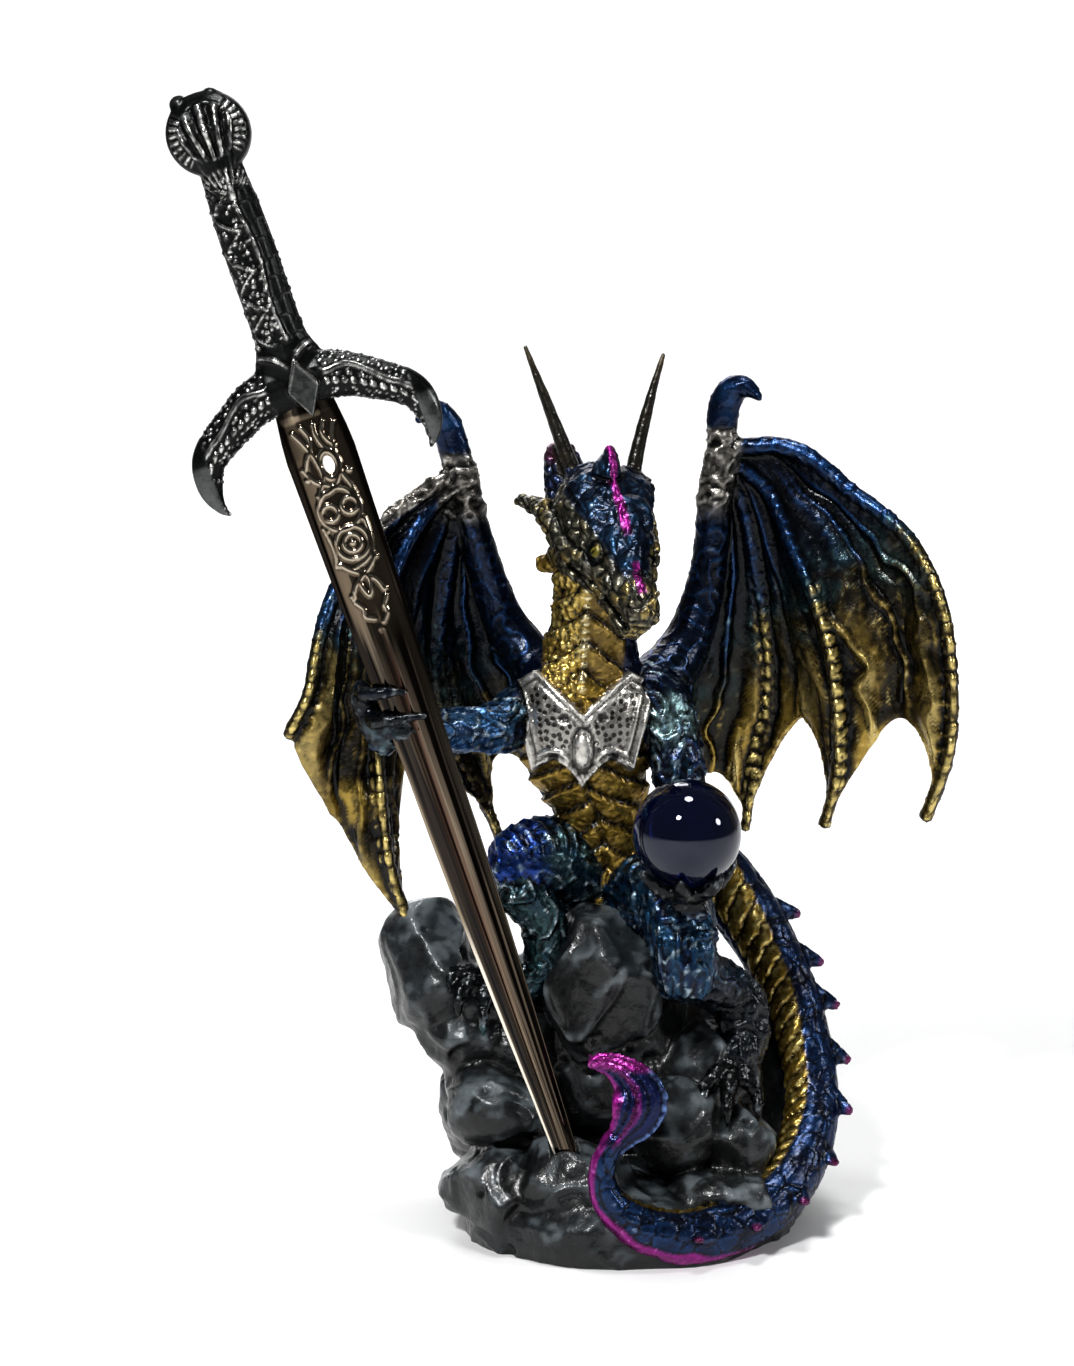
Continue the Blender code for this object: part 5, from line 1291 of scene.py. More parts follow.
# %% Paint the tail
fine = relief_map(tail, 3)
patch, speck = wobble(points, 5, 3, seed=1), wobble(points, 1, 2, seed=6)
ridge, hollow = ease(fine, -0.02, 0.08), ease(-fine, 0, 0.09)
coat = Coat(len(points), "#0a0f22", 0.8)
coat.lay(plates * ease(patch, -0.9, 0.2) * 0.9, "#122444", 0.88)
# Lighter blue on the ridges is dry brush and painted highlight together; pale blue specks are painted glints
coat.lay(ridge * ease(patch, -0.7, 0.4) * 0.6, "#1f3e6c", 0.9)
coat.lay(ridge * ease(speck, 0.45, 0.85) * 0.55, "#9db4dc", 0.95)
coat.lay((1 - plates) * 0.7, "#040509", 0.5)
coat.lay(band * 0.97, OLD_GOLD, 0.8)
coat.lay(band * ease(band_lift, -0.1, 0.3) * 0.9, GOLD, 0.9)
# Painted glints: pale gold on the band's ridges
coat.lay(band * ridge * ease(speck, -0.1, 0.5) * 0.8, PALE_GOLD, 0.95)
coat.lay(edge * 0.95, MAGENTA, 0.75)
# Painted glints: pink on the ridges of the magenta edge
coat.lay(edge * ridge * ease(speck, 0.2, 0.8) * 0.7, PINK, 0.75)
leaf_height = np.interp(points[:, 2], (24, 34, 36, 37), (0.0, 0.0, 0.7, 1.0))
rim_and_rib = np.maximum.reduce([ease(-leaf_across, 0.66, 0.78), fade(np.abs(leaf_across + 0.1), 0.05, 0.14),
                                 ease(leaf_height, 0.3, 0.8)])
coat.lay(on_leaf * 0.95, "#141d48", 0.85)
# Painted highlight: pale blue on the leaf's right rim; pink on the ridges of its rim and rib is painted
# glints
coat.lay(on_leaf * ease(leaf_across, 0.72, 0.85) * ease(speck, -0.4, 0.4) * 0.8, "#6f8fce", 0.95)
coat.lay(on_leaf * rim_and_rib * 0.95, MAGENTA, 0.75)
coat.lay(on_leaf * rim_and_rib * ridge * ease(speck, 0.2, 0.8) * 0.7, PINK, 0.75)
tips = np.min([apart(points, tip) for tip in thorn_tips], axis=0)
coat.lay(fade(tips, 0.5, 1.7) * 0.75, "#6b1a48", 0.7)
# Painted shade: black in the hollows
coat.lay(hollow * 0.8, BLACK, 0.8)
finished(tail, coat, dragon_paint)
print("Tail painted:", len(tail.data.polygons), "faces")

# %% [markdown]
# ## The wings
# A wing is an arm, a claw at the wrist, fingers that spread from it, and skin between
# the fingers. The skin sags between its fingers and its lower edge is scalloped, as on
# an umbrella. A subdivided plane could be pulled into place by hand; a grid between two
# finger lines does the same with fewer steps, and it knows its own share across the
# panel and down it, which the veins and the change from blue to gold need.

# %% Lines of the fingers
RIGHT_WING = {
    "arm": ((1, 4, 97, 5.8), (7, 9.5, 103, 5), (10.6, 12, 111, 4), (12.6, 12, 121, 3.4),
            (13.2, 12, 131, 3.2), (14.8, 12, 141, 3.2)),
    "hook": ((14.6, 12, 141), (14.7, 12, 147), (15.8, 11.6, 151), (18.4, 10.2, 152.4), (21.4, 8, 150.4)),
    "fingers": (
        ((15, 12, 141), (18.6, 12, 142.6), (24.2, 10, 142.3), (30, 8, 139.8), (37.5, 5, 133.9),
         (44.8, 1, 128.8), (50.6, -3, 121.4), (53.4, -5, 113.5), (55, -6, 104), (55.4, -6, 94),
         (54.4, -5.4, 83), (51.2, -4, 74.8)),
        ((15, 12, 140), (21.9, 11, 135.3), (27, 8, 124.5), (31.4, 5, 113.8), (34.1, 3, 103.9),
         (35.3, 2.5, 94.7), (35.8, 3, 85.4), (35.2, 4.5, 77.6), (33.8, 6, 71.5)),
        ((15, 12.4, 139), (19.6, 13.5, 127.7), (21.7, 15, 114.5), (23.7, 17, 102.9), (24, 18.5, 91.3),
         (22.3, 19, 83.5), (20.1, 20, 68)),
        ((13.6, 12.4, 138), (12.6, 13, 124), (10.2, 13, 111), (6, 13, 99), (4.4, 15, 84), (5, 17, 70)),
    ),
    "scallops": (0.23, 0.29, 0.14),
    # How strong the painted sheen is, low on the gold
    "gold_sheen": 1,
    "back": (0.25, 0.9, 0),
    "blue_above": ((8, 14, 20, 28.6, 39.5, 46.5, 56), (92, 98, 107, 114, 121, 128, 127)),
    "lobe": (40, 1, 92, 0.1),
}
LEFT_WING = {
    "arm": ((-15, 3, 96, 5.8), (-20, 8, 101.5, 5), (-25.2, 10, 109, 4), (-28.6, 9, 118, 3.4),
            (-31.4, 7.6, 128, 3.2), (-33.4, 6, 138, 3.2)),
    "hook": ((-33.6, 6, 137.5), (-35, 6, 143), (-36.4, 5.4, 146.6), (-38.6, 3.6, 148.4), (-41.2, 1.6, 146.6)),
    "fingers": (
        ((-33.4, 6, 137.2), (-38.8, 3, 134.5), (-45.1, 0, 129.8), (-50.3, -4, 124.8), (-54.6, -8, 119),
         (-57.4, -12, 112.3), (-58.8, -14, 105.4), (-60.2, -15, 98.4), (-63.6, -14, 91.6)),
        ((-33.4, 6, 136.6), (-40.6, 2, 128.8), (-45, -3, 120.2), (-47.9, -7, 109.8), (-48.6, -9.5, 99.3),
         (-47.9, -10, 89.4), (-47.3, -10, 79.4), (-46.3, -9.5, 69.2), (-44.8, -9, 62.7), (-42.6, -8, 55.4)),
        ((-33.2, 6.4, 136), (-35.4, 7, 120.9), (-37.3, 8, 109.7), (-37.4, 10, 98.3), (-34.8, 13, 86.5),
         (-30.1, 15, 76.6), (-26.4, 16, 67.2)),
        ((-32.6, 7, 134.5), (-30.3, 9, 122.6), (-27.7, 10, 113.2), (-24.4, 12, 105.5), (-21.7, 14, 93.9),
         (-19, 15, 78)),
    ),
    "scallops": (-0.02, 0.34, 0.16),
    # How strong the painted sheen is, low on the gold
    "gold_sheen": 0.35,
    "back": (-0.45, 0.8, 0),
    "blue_above": ((-60, -53, -46, -38, -30, -22), (110, 108, 106, 102, 97, 94)),
    "lobe": (-52.4, -13, 78.5, 5),
}
MEMBRANE = 1.7
SAG = 3.2
FINGER_STEPS = 33
PANEL_ACROSS, PANEL_DOWN = 21, 41
BEAD_ANGLE = 80.0  # radians of a sine wave along one finger, which is about 25 beads


def along_finger(rows, count):
    """Places at even steps along a smooth curve through a finger's points."""
    curve = through(rows, 8)
    steps = np.linalg.norm(np.diff(curve, axis=0), axis=1)
    travelled = np.concatenate([[0.0], np.cumsum(steps)])
    even = np.linspace(0.0, travelled[-1], count)
    return np.stack([np.interp(even, travelled, curve[:, k]) for k in range(3)], axis=1)


def between(curve, travel):
    """Places at shares of the way along a curve of even steps."""
    even = np.linspace(0.0, 1.0, len(curve))
    return np.stack([np.interp(travel, even, curve[:, k]) for k in range(3)], axis=-1)


# %% The skin between the fingers
def wing_panels(plan, curves):
    """For each panel, its grid of places and each place's share across and down it."""
    panels = []
    down = np.linspace(0.0, 1.0, PANEL_DOWN)
    share = np.linspace(0.0, 1.0, PANEL_ACROSS)
    for first, second, scallop in zip(curves, curves[1:], plan["scallops"]):
        cut = 1.0 - scallop * np.sin(math.pi * share) ** 0.75
        travel = 0.03 + down[None, :] * cut[:, None] * 0.96
        near, far = between(first, travel), between(second, travel)
        grid = near + (far - near) * share[:, None, None]
        belly = np.sin(math.pi * share)[:, None] * np.sin(math.pi * 0.5 * travel) * SAG
        grid = grid + np.array(plan["back"]) * belly[..., None]
        across = np.broadcast_to(share[:, None], travel.shape)
        panels.append((grid, across, np.broadcast_to(down, travel.shape)))
    return panels


def wing_clay(plan, curves, panels):
    """The shells of one wing."""
    clay = Clay()
    clay.limb([(x, y, z, r, r) for x, y, z, r in plan["arm"]], FRONT)
    clay.limb([(*p, r, r * 0.9) for p, r in zip(plan["hook"], (2.9, 3.0, 2.9, 2.2, 0.7))], FRONT)
    for grid, _, _ in panels:
        clay.slab(grid, MEMBRANE)
    for number, curve in enumerate(curves[:3]):
        rows = []
        for share_along in np.linspace(0.0, 1.0, 8):
            thick = 1.9 - 0.9 * share_along - 0.15 * number + 0.4 * share_along**6
            rows.append([*between(curve, share_along), thick, thick])
        clay.limb(rows, (0.0, -1.0, 0.15), sides=12)
    return clay


# %% Carve and paint a wing
def carve_wing(piece, plan, curves, panels, silver_of):
    """Veins and wrinkles in the skin and beads on the fingers. Gives what the paint needs."""
    points, normals = read_skin(piece)
    silver = silver_of(points)
    places = np.vstack([grid.reshape(-1, 3) for grid, _, _ in panels])
    across = np.concatenate([share.ravel() for _, share, _ in panels])
    down = np.concatenate([share.ravel() for _, _, share in panels])
    number = np.repeat(np.arange(len(panels)), PANEL_ACROSS * PANEL_DOWN)
    spot = nearest(points, places)
    way = apart(points, places[spot])
    fan_place = evened(piece, (across + number)[spot], 10)
    down, number = evened(piece, down[spot], 10), number[spot]
    fingers = np.vstack(curves[:3])
    finger_spot = nearest(points, fingers)
    finger_way = apart(points, fingers[finger_spot])
    finger_down = evened(piece, (finger_spot % len(curves[0])) / (len(curves[0]) - 1.0), 6)
    skin = fade(way, 1.2, 2) * ease(finger_way, 1.4, 2.4)
    sway = 0.35 * wobble(points, 9, 2, seed=1)
    fan = np.stack([fan_place * 3.4 + sway, down * 1.1, number * 3.0], axis=1)
    folds = 0.85 * wobble(fan, 1, 1) + 0.8 * creases(fan * (0.8, 1.0, 1.0), 1, 1, seed=4, width=0.3)
    foil = 0.24 * creases(points * (1.0, 1.0, 0.6), 5.4, 2, seed=8, width=0.3) * ease(down, 0.2, 0.6)
    foil += 0.05 * creases(points * (1.0, 1.0, 0.8), 2.6, 1, seed=9)
    lift = (folds * (0.4 + 1.2 * down) + foil - 0.3) * (1 - 0.8 * ease(down, 0.92, 0.99))
    finger = (finger_way < 3.0) * (1 - skin)
    ridge_line = ease(-normals[:, 1], 0.86, 0.97) * finger
    bead_steps = np.abs(np.sin(finger_down * BEAD_ANGLE))
    beads = bead_steps * 0.6 * ease(finger_down, 0.3, 0.45) * ridge_line
    knuckles = 0.2 * creases(points, 3, 1, seed=3) - 0.1
    lift = lift * skin + (1 - skin) * (beads + knuckles)
    cloth = 0.45 * creases(points * (1.0, 1.0, 1.6), 4, 2, seed=5) + 0.2 * wobble(points, 2.6, 1) - 0.2
    lift = lift * (1 - silver) + cloth * silver
    lobe_way = apart(points, plan["lobe"][:3])
    lobe_size = plan["lobe"][3]
    lobe = fade(lobe_way, lobe_size * 0.6, lobe_size * 1.3)
    lift += lobe * (normals[:, 1] < 0)
    press(piece, points + normals * lift[:, None])
    return points, {"down": down, "finger": finger, "beads": ridge_line * bead_steps,
                    "finger_down": finger_down, "silver": silver, "lobe": lobe, "folds": folds * skin}


def paint_wing(piece, points, place, plan):
    """Blue above, gold below, with a teal change between and silver at the wrist."""
    silver, gold_sheen = place["silver"], plan["gold_sheen"]
    fine, broad = relief_map(piece, 3), relief_map(piece, 16)
    patch, cloud = wobble(points, 4, 2, seed=21), wobble(points * (1.0, 1.0, 0.7), 12, 2, seed=24)
    speck = wobble(points, 1.3, 2, seed=22)
    ridge, hollow = ease(fine, -0.01, 0.08), ease(-fine, 0, 0.08)
    proud = ease(broad, -0.1, 0.45)
    above = points[:, 2] - np.interp(points[:, 0], *plan["blue_above"]) + 5.0 * patch
    blue = ease(above, -4, 4)
    change = peak(above, 8.0)
    gold = 1 - blue
    # Painted sheen: the gold grows brighter low on the wing, with painted highlight on what stands proud and
    # on the folds
    low = ease(place["down"] + 0.4 * cloud, 0.62, 1.02) * gold_sheen
    coat = Coat(len(points), "#0a0906", 0.6)
    coat.lay(gold * (0.25 + 0.3 * low), "#231d0c", 0.85)
    coat.lay(gold * proud * (0.15 + 0.55 * low), "#5c4820", 0.92)
    coat.lay(gold * low * ease(place["folds"], -0.05, 0.5) * 0.9, "#a98b3b", 0.97)
    coat.lay(gold * low * ease(place["folds"], 0.5, 1) * 0.6, "#e2cd86", 0.97)
    # Painted glints: pale gold specks on the ridges
    coat.lay(gold * ridge * (0.2 + 0.6 * low) * ease(speck, -0.2, 0.5), "#c4a650", 0.95)
    coat.lay(place["finger"] * gold * (1 - place["beads"]) * 0.6, "#1c160a", 0.7)
    coat.lay(place["lobe"] * 0.85, "#a88c3c", 0.95)
    coat.lay(gold * ridge * low * ease(speck, 0.2, 0.7) * 0.8, "#efe0a8", 0.95)
    coat.lay(blue * 0.96, "#060b17", 0.85)
    # Painted highlight on the blue: lighter on what stands proud and on the ridges, with pale blue painted
    # glints
    coat.lay(blue * proud * ease(cloud, -0.7, 0.5) * 0.75, "#0f2446", 0.9)
    coat.lay(blue * ridge * ease(broad, 0, 0.4) * 0.6, "#1c4478", 0.92)
    coat.lay(blue * ridge * ease(speck, 0.45, 0.9) * ease(broad, 0, 0.4) * 0.6, "#a9c6f2", 0.95)
    coat.lay(change * ease(patch, -0.4, 0.6) * 0.6, "#263c3c", 0.85)
    # Painted glints on the ridges of the teal change
    coat.lay(change * ridge * ease(speck, 0.2, 0.7) * 0.6, "#6f9a98", 0.9)
    beads = place["beads"] * gold * ease(place["finger_down"], 0.3, 0.4)
    coat.lay(beads * 0.6, "#5a481a", 0.8)
    coat.lay(beads * ease(fine, 0.02, 0.1) * 0.95, "#e4cc7c", 0.95)
    # Painted shade: black in the hollows and in the broad valleys between the folds
    coat.lay(hollow * 0.85, BLACK, 0.85)
    coat.lay(ease(-broad, 0.05, 0.45) * (0.75 - 0.35 * blue), BLACK, 0.85)
    coat.lay(silver * 0.94, "#3c3a37", 0.85)
    # Painted highlight on the silver's proud parts and ridges, and painted shade in its hollows
    coat.lay(silver * proud * 0.85, "#8d8880", 0.9)
    coat.lay(silver * ridge * ease(speck, -0.2, 0.5) * 0.8, "#cfcac2", 0.95)
    coat.lay(silver * hollow * 0.9, BLACK, 0.8)
    hook_line = through(plan["hook"][1:], 6)
    hook = fade(np.min([apart(points, spot) for spot in hook_line], axis=0), 3.2, 4)
    hook *= ease(points[:, 2], plan["hook"][1][2] - 2.5, plan["hook"][1][2] - 0.5)
    coat.lay(hook * 0.97, "#0b1c38", 0.9)
    coat.lay(hook * ease(patch, 0, 0.8) * 0.6, "#1b416e", 0.9)
    return coat


def make_wing(name, plan, silver_of):
    """One wing, from its plan to its last coat."""
    curves = [along_finger(rows, FINGER_STEPS) for rows in plan["fingers"]]
    panels = wing_panels(plan, curves)
    piece = fused(name, wing_clay(plan, curves, panels), WING_VOXEL)
    points, place = carve_wing(piece, plan, curves, panels, silver_of)
    coat = paint_wing(piece, points, place, plan)
    finished(piece, coat, dragon_paint)
    print(name, "painted:", len(piece.data.polygons), "faces")


def right_silver(points):
    """The silver sleeve below the right wing's claw."""
    x, _, z = points.T
    lean = (z - 130) * 0.12
    sleeve = ease(z, 127, 133) * fade(z, 144, 145.5)
    return sleeve * fade(x, 15.6 + lean, 17.2 + lean)


def left_silver(points):
    """The silver sleeve and rim at the left wing's wrist."""
    x, _, z = points.T
    sleeve = ease(z, 127, 131) * fade(z, 139.5, 141) * ease(x, -38, -36)
    upper_edge = np.interp(x, (-52, -45, -38, -33), (124.5, 131.0, 135.6, 138.0))
    rim = fade(np.abs(z - upper_edge), 1.4, 2.2)
    return np.maximum(sleeve, rim * (x < -34))


make_wing("right_wing", RIGHT_WING, right_silver)
make_wing("left_wing", LEFT_WING, left_silver)

# %% [markdown]
# ## The sword blade
# The real blade is a flat casting with a mirror finish: bevelled edges, long flutes down
# the lower part and a worked panel of thin raised lines near the guard, pierced by an
# eyelet. It starts as a grid, and a Solidify gives it two faces and an edge. Then every
# point is moved to its place in the blade's section, which a hand could only do loosely.
# The rows lie closer together in the worked panel, because its lines are half a
# millimetre wide.

# %% A grid for the blade
BLADE_COLUMNS, BLADE_ROWS = 70, 300
PANEL_FOOT = 102.0
PANEL_SHARE = 0.3  # the share of the grid's rows that lies below the panel's foot
only()
bpy.ops.mesh.primitive_grid_add(x_subdivisions=BLADE_COLUMNS, y_subdivisions=BLADE_ROWS, size=2.0)
blade = bpy.context.active_object
blade.name = "sword_blade_bright"
apply_modifier(blade, "SOLIDIFY", thickness=0.5, offset=0.0)
points, _ = read_skin(blade)
across, face = points[:, 0], np.sign(points[:, 2])
up_share = (points[:, 1] + 1.0) / 2.0
upper_share = (up_share - PANEL_SHARE) / (1 - PANEL_SHARE)
height = np.where(up_share < PANEL_SHARE, up_share / PANEL_SHARE * PANEL_FOOT,
                  PANEL_FOOT + upper_share * (BLADE_LENGTH + 2.0 - PANEL_FOOT))
half = blade_half(height) - 0.03
x = across * half

# %% The blade's section and its worked panel
def ring_line(x, z, middle, radius):
    """How near each place is to a circle drawn on the blade, 1 on the line."""
    away = np.abs(np.hypot(x - middle[0], z - middle[1]) - radius)
    return 1 - ease(away, 0.22, 0.52)


def drawn_line(x, z, places, width=0.36):
    """How near each place is to a smooth line drawn through points on the blade."""
    line = through([(px, 0.0, pz) for px, pz in places], 14)[:, (0, 2)]
    spots = np.stack([x, z], axis=1)
    near = np.zeros(len(x))
    some = (z > line[:, 1].min() - 1.5) & (z < line[:, 1].max() + 1.5)
    away = np.min(np.linalg.norm(spots[some, None] - line[None], axis=2), axis=1)
    near[some] = fade(away, width * 0.55, width * 1.5)
    return near


PANEL_RINGS = (((-1.9, 126.0), 1.4), ((1.9, 126.4), 1.4), ((0.0, 126.2), 3.7), ((0.2, 120.0), 2.9),
               ((0.2, 120.0), 1.5))
PANEL_PEARLS = ((0.2, 120.0), (-3.4, 123.2), (3.4, 123.4), (-3.2, 116.8), (3.2, 116.6), (0.0, 104.2),
                (-0.2, 129.8), (-3.6, 132.6), (3.8, 132.2), (-2.9, 111.0), (2.9, 110.8))
PANEL_LINES = (
    ((-3.6, 141), (-2.2, 138.4), (-1.2, 135.6), (-0.9, 132.4), (-2.2, 130), (-3.4, 127.6)),
    ((3.9, 141), (2.8, 138.4), (2.5, 135.6), (2.4, 132.4), (3.2, 130), (3.6, 127.8)),
    ((0.4, 141.6), (0.3, 139.4), (1, 137.2), (2.4, 135.8), (2.7, 133.6), (1.4, 131.2), (-0.4, 129.6),
     (-2.8, 129.4)),
    ((-3.9, 134.5), (-2.6, 132), (-0.4, 130.6), (1.8, 129.4), (3.4, 127.2)),
    ((-3.8, 123.8), (-3.4, 121.4), (-3.3, 119), (-3.8, 116.8)),
    ((3.6, 123.6), (3.6, 120.8), (3.2, 118), (1.6, 116.4), (-0.6, 115.6)),
    ((-3.3, 117), (-1.6, 115.4), (0.4, 114), (2, 112.6), (2.8, 110.6)),
    ((3.2, 117), (1.8, 115.2), (-0.2, 113.8), (-2, 112.4), (-2.9, 110.4)),
    ((0, 115), (-0.9, 112.8), (0, 110.4), (0.9, 112.8), (0, 115)),
    ((-2.8, 109.8), (-1.8, 108.4), (-1.9, 107), (-0.6, 106.2)),
    ((2.8, 109.6), (1.9, 108), (1.9, 106.6), (0.8, 105.2)),
    ((-1.7, 141.6), (-1, 139.6), (-1.4, 137.6), (-2.5, 136.2), (-3.4, 134.4)),
    ((2.2, 141.6), (1.5, 139.9), (1.9, 138.3), (2.9, 137)),
)
EYELET, EYELET_STRETCH = (0.74, 134.1), 1.6
flat = half * 0.42
bevel = np.clip((np.abs(x) - flat) / np.maximum(half - flat, 1e-6), 0, 1)
deep = BLADE_THICKNESS / 2 + (BLADE_EDGE / 2 - BLADE_THICKNESS / 2) * bevel
panel = ease(height, 100, 110) * fade(height, 142.5, 144)
drawing = np.zeros(len(x))
for middle, radius in PANEL_RINGS:
    drawing = np.maximum(drawing, ring_line(x, height, middle, radius))
for places in PANEL_LINES:
    drawing = np.maximum(drawing, drawn_line(x, height, places))
for px, pz in PANEL_PEARLS:
    drawing = np.maximum(drawing, fade(np.hypot(x - px, height - pz), 0.3, 0.75))
eyelet_way = np.hypot(x - EYELET[0], (height - EYELET[1]) / EYELET_STRETCH)
drawing = np.maximum(drawing, fade(np.abs(eyelet_way - 1.55), 0.2, 0.5))
flutes = -ease(np.cos(x / np.maximum(half, 1.0) * math.pi * 3.6 + 0.4), 0, 0.9) * 0.22
flutes = flutes * fade(height, 98, 110) * ease(height, 4, 20)
panel *= fade(np.abs(x), 4.6, 5.1)
deep = deep - 0.16 * panel + 0.36 * panel * drawing + flutes * (1 - bevel) - 0.08
deep = np.where(bevel < 1.0, deep, BLADE_EDGE / 2)
press(blade, np.stack([x, -face * deep, height], axis=1))
print("Blade:", len(blade.data.polygons), "faces")

# %% [markdown]
# One hole goes through, the eyelet in the panel. A Boolean with a stretched cylinder cuts
# it, as a file would. The material comes after, so the cut's walls get it too.

# %% Pierce the eyelet
only()
bpy.ops.mesh.primitive_cylinder_add(vertices=32, radius=1.0, depth=12.0,
                                    location=(EYELET[0], 0.0, EYELET[1]), rotation=(math.pi / 2, 0, 0))
eyelet = bpy.context.active_object
eyelet.scale = (1.0, EYELET_STRETCH, 1.0)
bpy.ops.object.transform_apply(location=True, rotation=True, scale=True)
apply_modifier(blade, "BOOLEAN", operation="DIFFERENCE", solver="EXACT", object=eyelet)
bpy.data.objects.remove(eyelet)
blade.data.transform(sword_place)

# %% Painted reflections on the blade
points, _ = read_skin(blade)
local = on_sword(points)
half = blade_half(local[:, 2])
share = local[:, 0] / half
# Painted reflections: dark and light bands down the blade and dark streaks along it
streak = wobble(local * (1.0, 0.2, 0.02), 1.5, 2, seed=4)
reflection_bands = wobble(np.stack([share * 3.0, local[:, 2] * 0.012, np.zeros(len(share))], axis=1), 1, 3, seed=2)
coat = Coat(len(points), "#5a4f43", 1.0)
coat.lay(ease(reflection_bands, -0.05, 0.25) * 0.92, "#1d1916", 1.0)
coat.lay(ease(-reflection_bands, 0.2, 0.5) * 0.65, "#9c8d77", 1.0)
coat.lay(ease(streak, 0.1, 0.6) * 0.4, "#14120f", 1.0)
level = local[:, 2]
lower = fade(level, 92, 106)
# Painted reflections: a reddish streak, a dark strip and a cream highlight near the edge
coat.lay(fade(np.abs(share + 0.08), 0.06, 0.2) * ease(level, 18, 40) * lower * 0.4, "#5e3a2c", 1.0)
coat.lay(fade(np.abs(share + 0.62), 0.16, 0.3) * fade(level, 90, 112) * 0.8, "#141416", 1.0)
coat.lay(ease(-share, 0.8, 0.88) * fade(level, 40, 52) * 0.95, "#f6ead8", 0.5)
in_panel = ease(level, 100, 108) * fade(level, 142, 144) * fade(np.abs(share), 0.74, 0.82)
fine = relief_map(blade, 3)
# In the panel: painted highlight on the raised lines and painted shade in their hollows
coat.lay(in_panel * 0.75, "#6e604f", 1.0)
coat.lay(in_panel * ease(fine, 0.01, 0.06) * 0.7, "#c2b6a2", 1.0)
coat.lay(in_panel * ease(-fine, 0, 0.05) * 0.6, "#2a231b", 0.95)


def smoked_chrome():
    """Polished plated metal. Its colour comes from the coat laid above, which paints reflections on it."""
    material, shader = new_material("smoked_chrome")
    tree = material.node_tree
    colour = add_node(material, "Attribute", attribute_name="paint")
    metal = add_node(material, "Attribute", attribute_name="metal")
    place = add_node(material, "TexCoord")
    lines = add_node(material, "Mapping",
                     {"Scale": (900.0, 900.0, 25.0)}, {"Vector": place.outputs["Object"]})
    grain = add_node(material, "TexNoise",
                     {"Scale": 1.0, "Detail": 3.0}, {"Vector": lines.outputs[0]})
    rough = add_node(material, "MapRange",
                     {"To Min": 0.07, "To Max": 0.17}, {"Value": grain.outputs[0]})
    tree.links.new(colour.outputs["Color"], shader.inputs["Base Color"])
    tree.links.new(metal.outputs["Fac"], shader.inputs["Metallic"])
    tree.links.new(rough.outputs[0], shader.inputs["Roughness"])
    return material


finished(blade, coat, smoked_chrome(), "sword_blade")
print("Blade finished:", len(blade.data.polygons), "faces")

# %% [markdown]
# ## The hilt
# Cast pewter with deep relief, blackened and then rubbed bright on its high places. It
# is modelled upright in its own frame, where left and right mean something, and only
# then laid along the sword.

# %% Shape the hilt
GRIP_LENGTH, GRIP_HALF, GRIP_DEEP = 38.4, 4.65, 3.7
GUARD_HALF_SPAN, GUARD_DROP, GUARD_HALF, GUARD_DEEP = 22.3, 17.0, 3.7, 2.8
POMMEL_RADIUS, POMMEL_DEEP = 7.2, 4.5
GUARD_ROWS = ((0.0, -0.05, 1.24), (0.22, -0.03, 1.22), (0.4, 0.04, 1.1), (0.58, 0.17, 1.0),
              (0.76, 0.32, 0.92), (0.865, 0.48, 0.8), (0.9, 0.72, 0.6), (0.875, 0.9, 0.32),
              (0.82, 1.02, 0.1))
POMMEL_TOP = GRIP_LENGTH + POMMEL_RADIUS
JEWEL_SIDE = 1.2  # the jewel sits a little to one side of the blade's middle
hilt_place = sword_place @ Matrix.Translation((0, 0, BLADE_LENGTH + GUARD_HALF * 2 * 0.47))
hilt_clay = Clay()
hilt_clay.limb(((0, 0, -1.0, GRIP_HALF * 1.5, GUARD_DEEP), (0, 0, 3.6, GRIP_HALF * 1.46, GUARD_DEEP * 1.1),
                (0, 0, 7.2, GRIP_HALF * 1.1, GRIP_DEEP * 0.95), (0, 0, 11.5, GRIP_HALF * 0.98, GRIP_DEEP),
                (0, 0, GRIP_LENGTH * 0.66, GRIP_HALF, GRIP_DEEP),
                (0, 0, GRIP_LENGTH * 0.86, GRIP_HALF * 0.94, GRIP_DEEP),
                (0, 0, GRIP_LENGTH, GRIP_HALF * 0.84, GRIP_DEEP),
                (0, 0, GRIP_LENGTH + 3, GRIP_HALF * 0.8, GRIP_DEEP)), FRONT, sides=16, square=1.25)
for side in (-1, 1):
    rows = []
    for span, down, size in GUARD_ROWS:
        rows.append((side * span * GUARD_HALF_SPAN, 0.0, -down * GUARD_DROP, GUARD_HALF * size,
                     GUARD_DEEP * min(size, 1.0)))
    hilt_clay.limb(rows, FRONT, sides=16)
jewel = ((0, 0, -5.8), (3.0, 0, 0), (0, 0, 4.6), (-3.0, 0, 0))
centre = np.array([JEWEL_SIDE, -GUARD_DEEP * 0.6, -0.2])
corners = [centre + p for p in jewel]
corners += [centre + np.array(p) * 0.9 + (0, -2.3, 0) for p in jewel]
corners += [centre + np.array(p) * 0.6 + (0, 2.0, 0) for p in jewel]
hilt_clay.add(corners, [[0, 1, 5, 4], [1, 2, 6, 5], [2, 3, 7, 6], [3, 0, 4, 7], [4, 5, 6, 7], [1, 0, 8, 9],
                        [2, 1, 9, 10], [3, 2, 10, 11], [0, 3, 11, 8], [11, 10, 9, 8]])
hilt_clay.limb([(0, y * POMMEL_DEEP, POMMEL_TOP, POMMEL_RADIUS * r, POMMEL_RADIUS * r)
                for y, r in ((0.8, 0.8), (0.4, 1.0), (-0.4, 1.0), (-0.8, 0.8))], UP, sides=40)
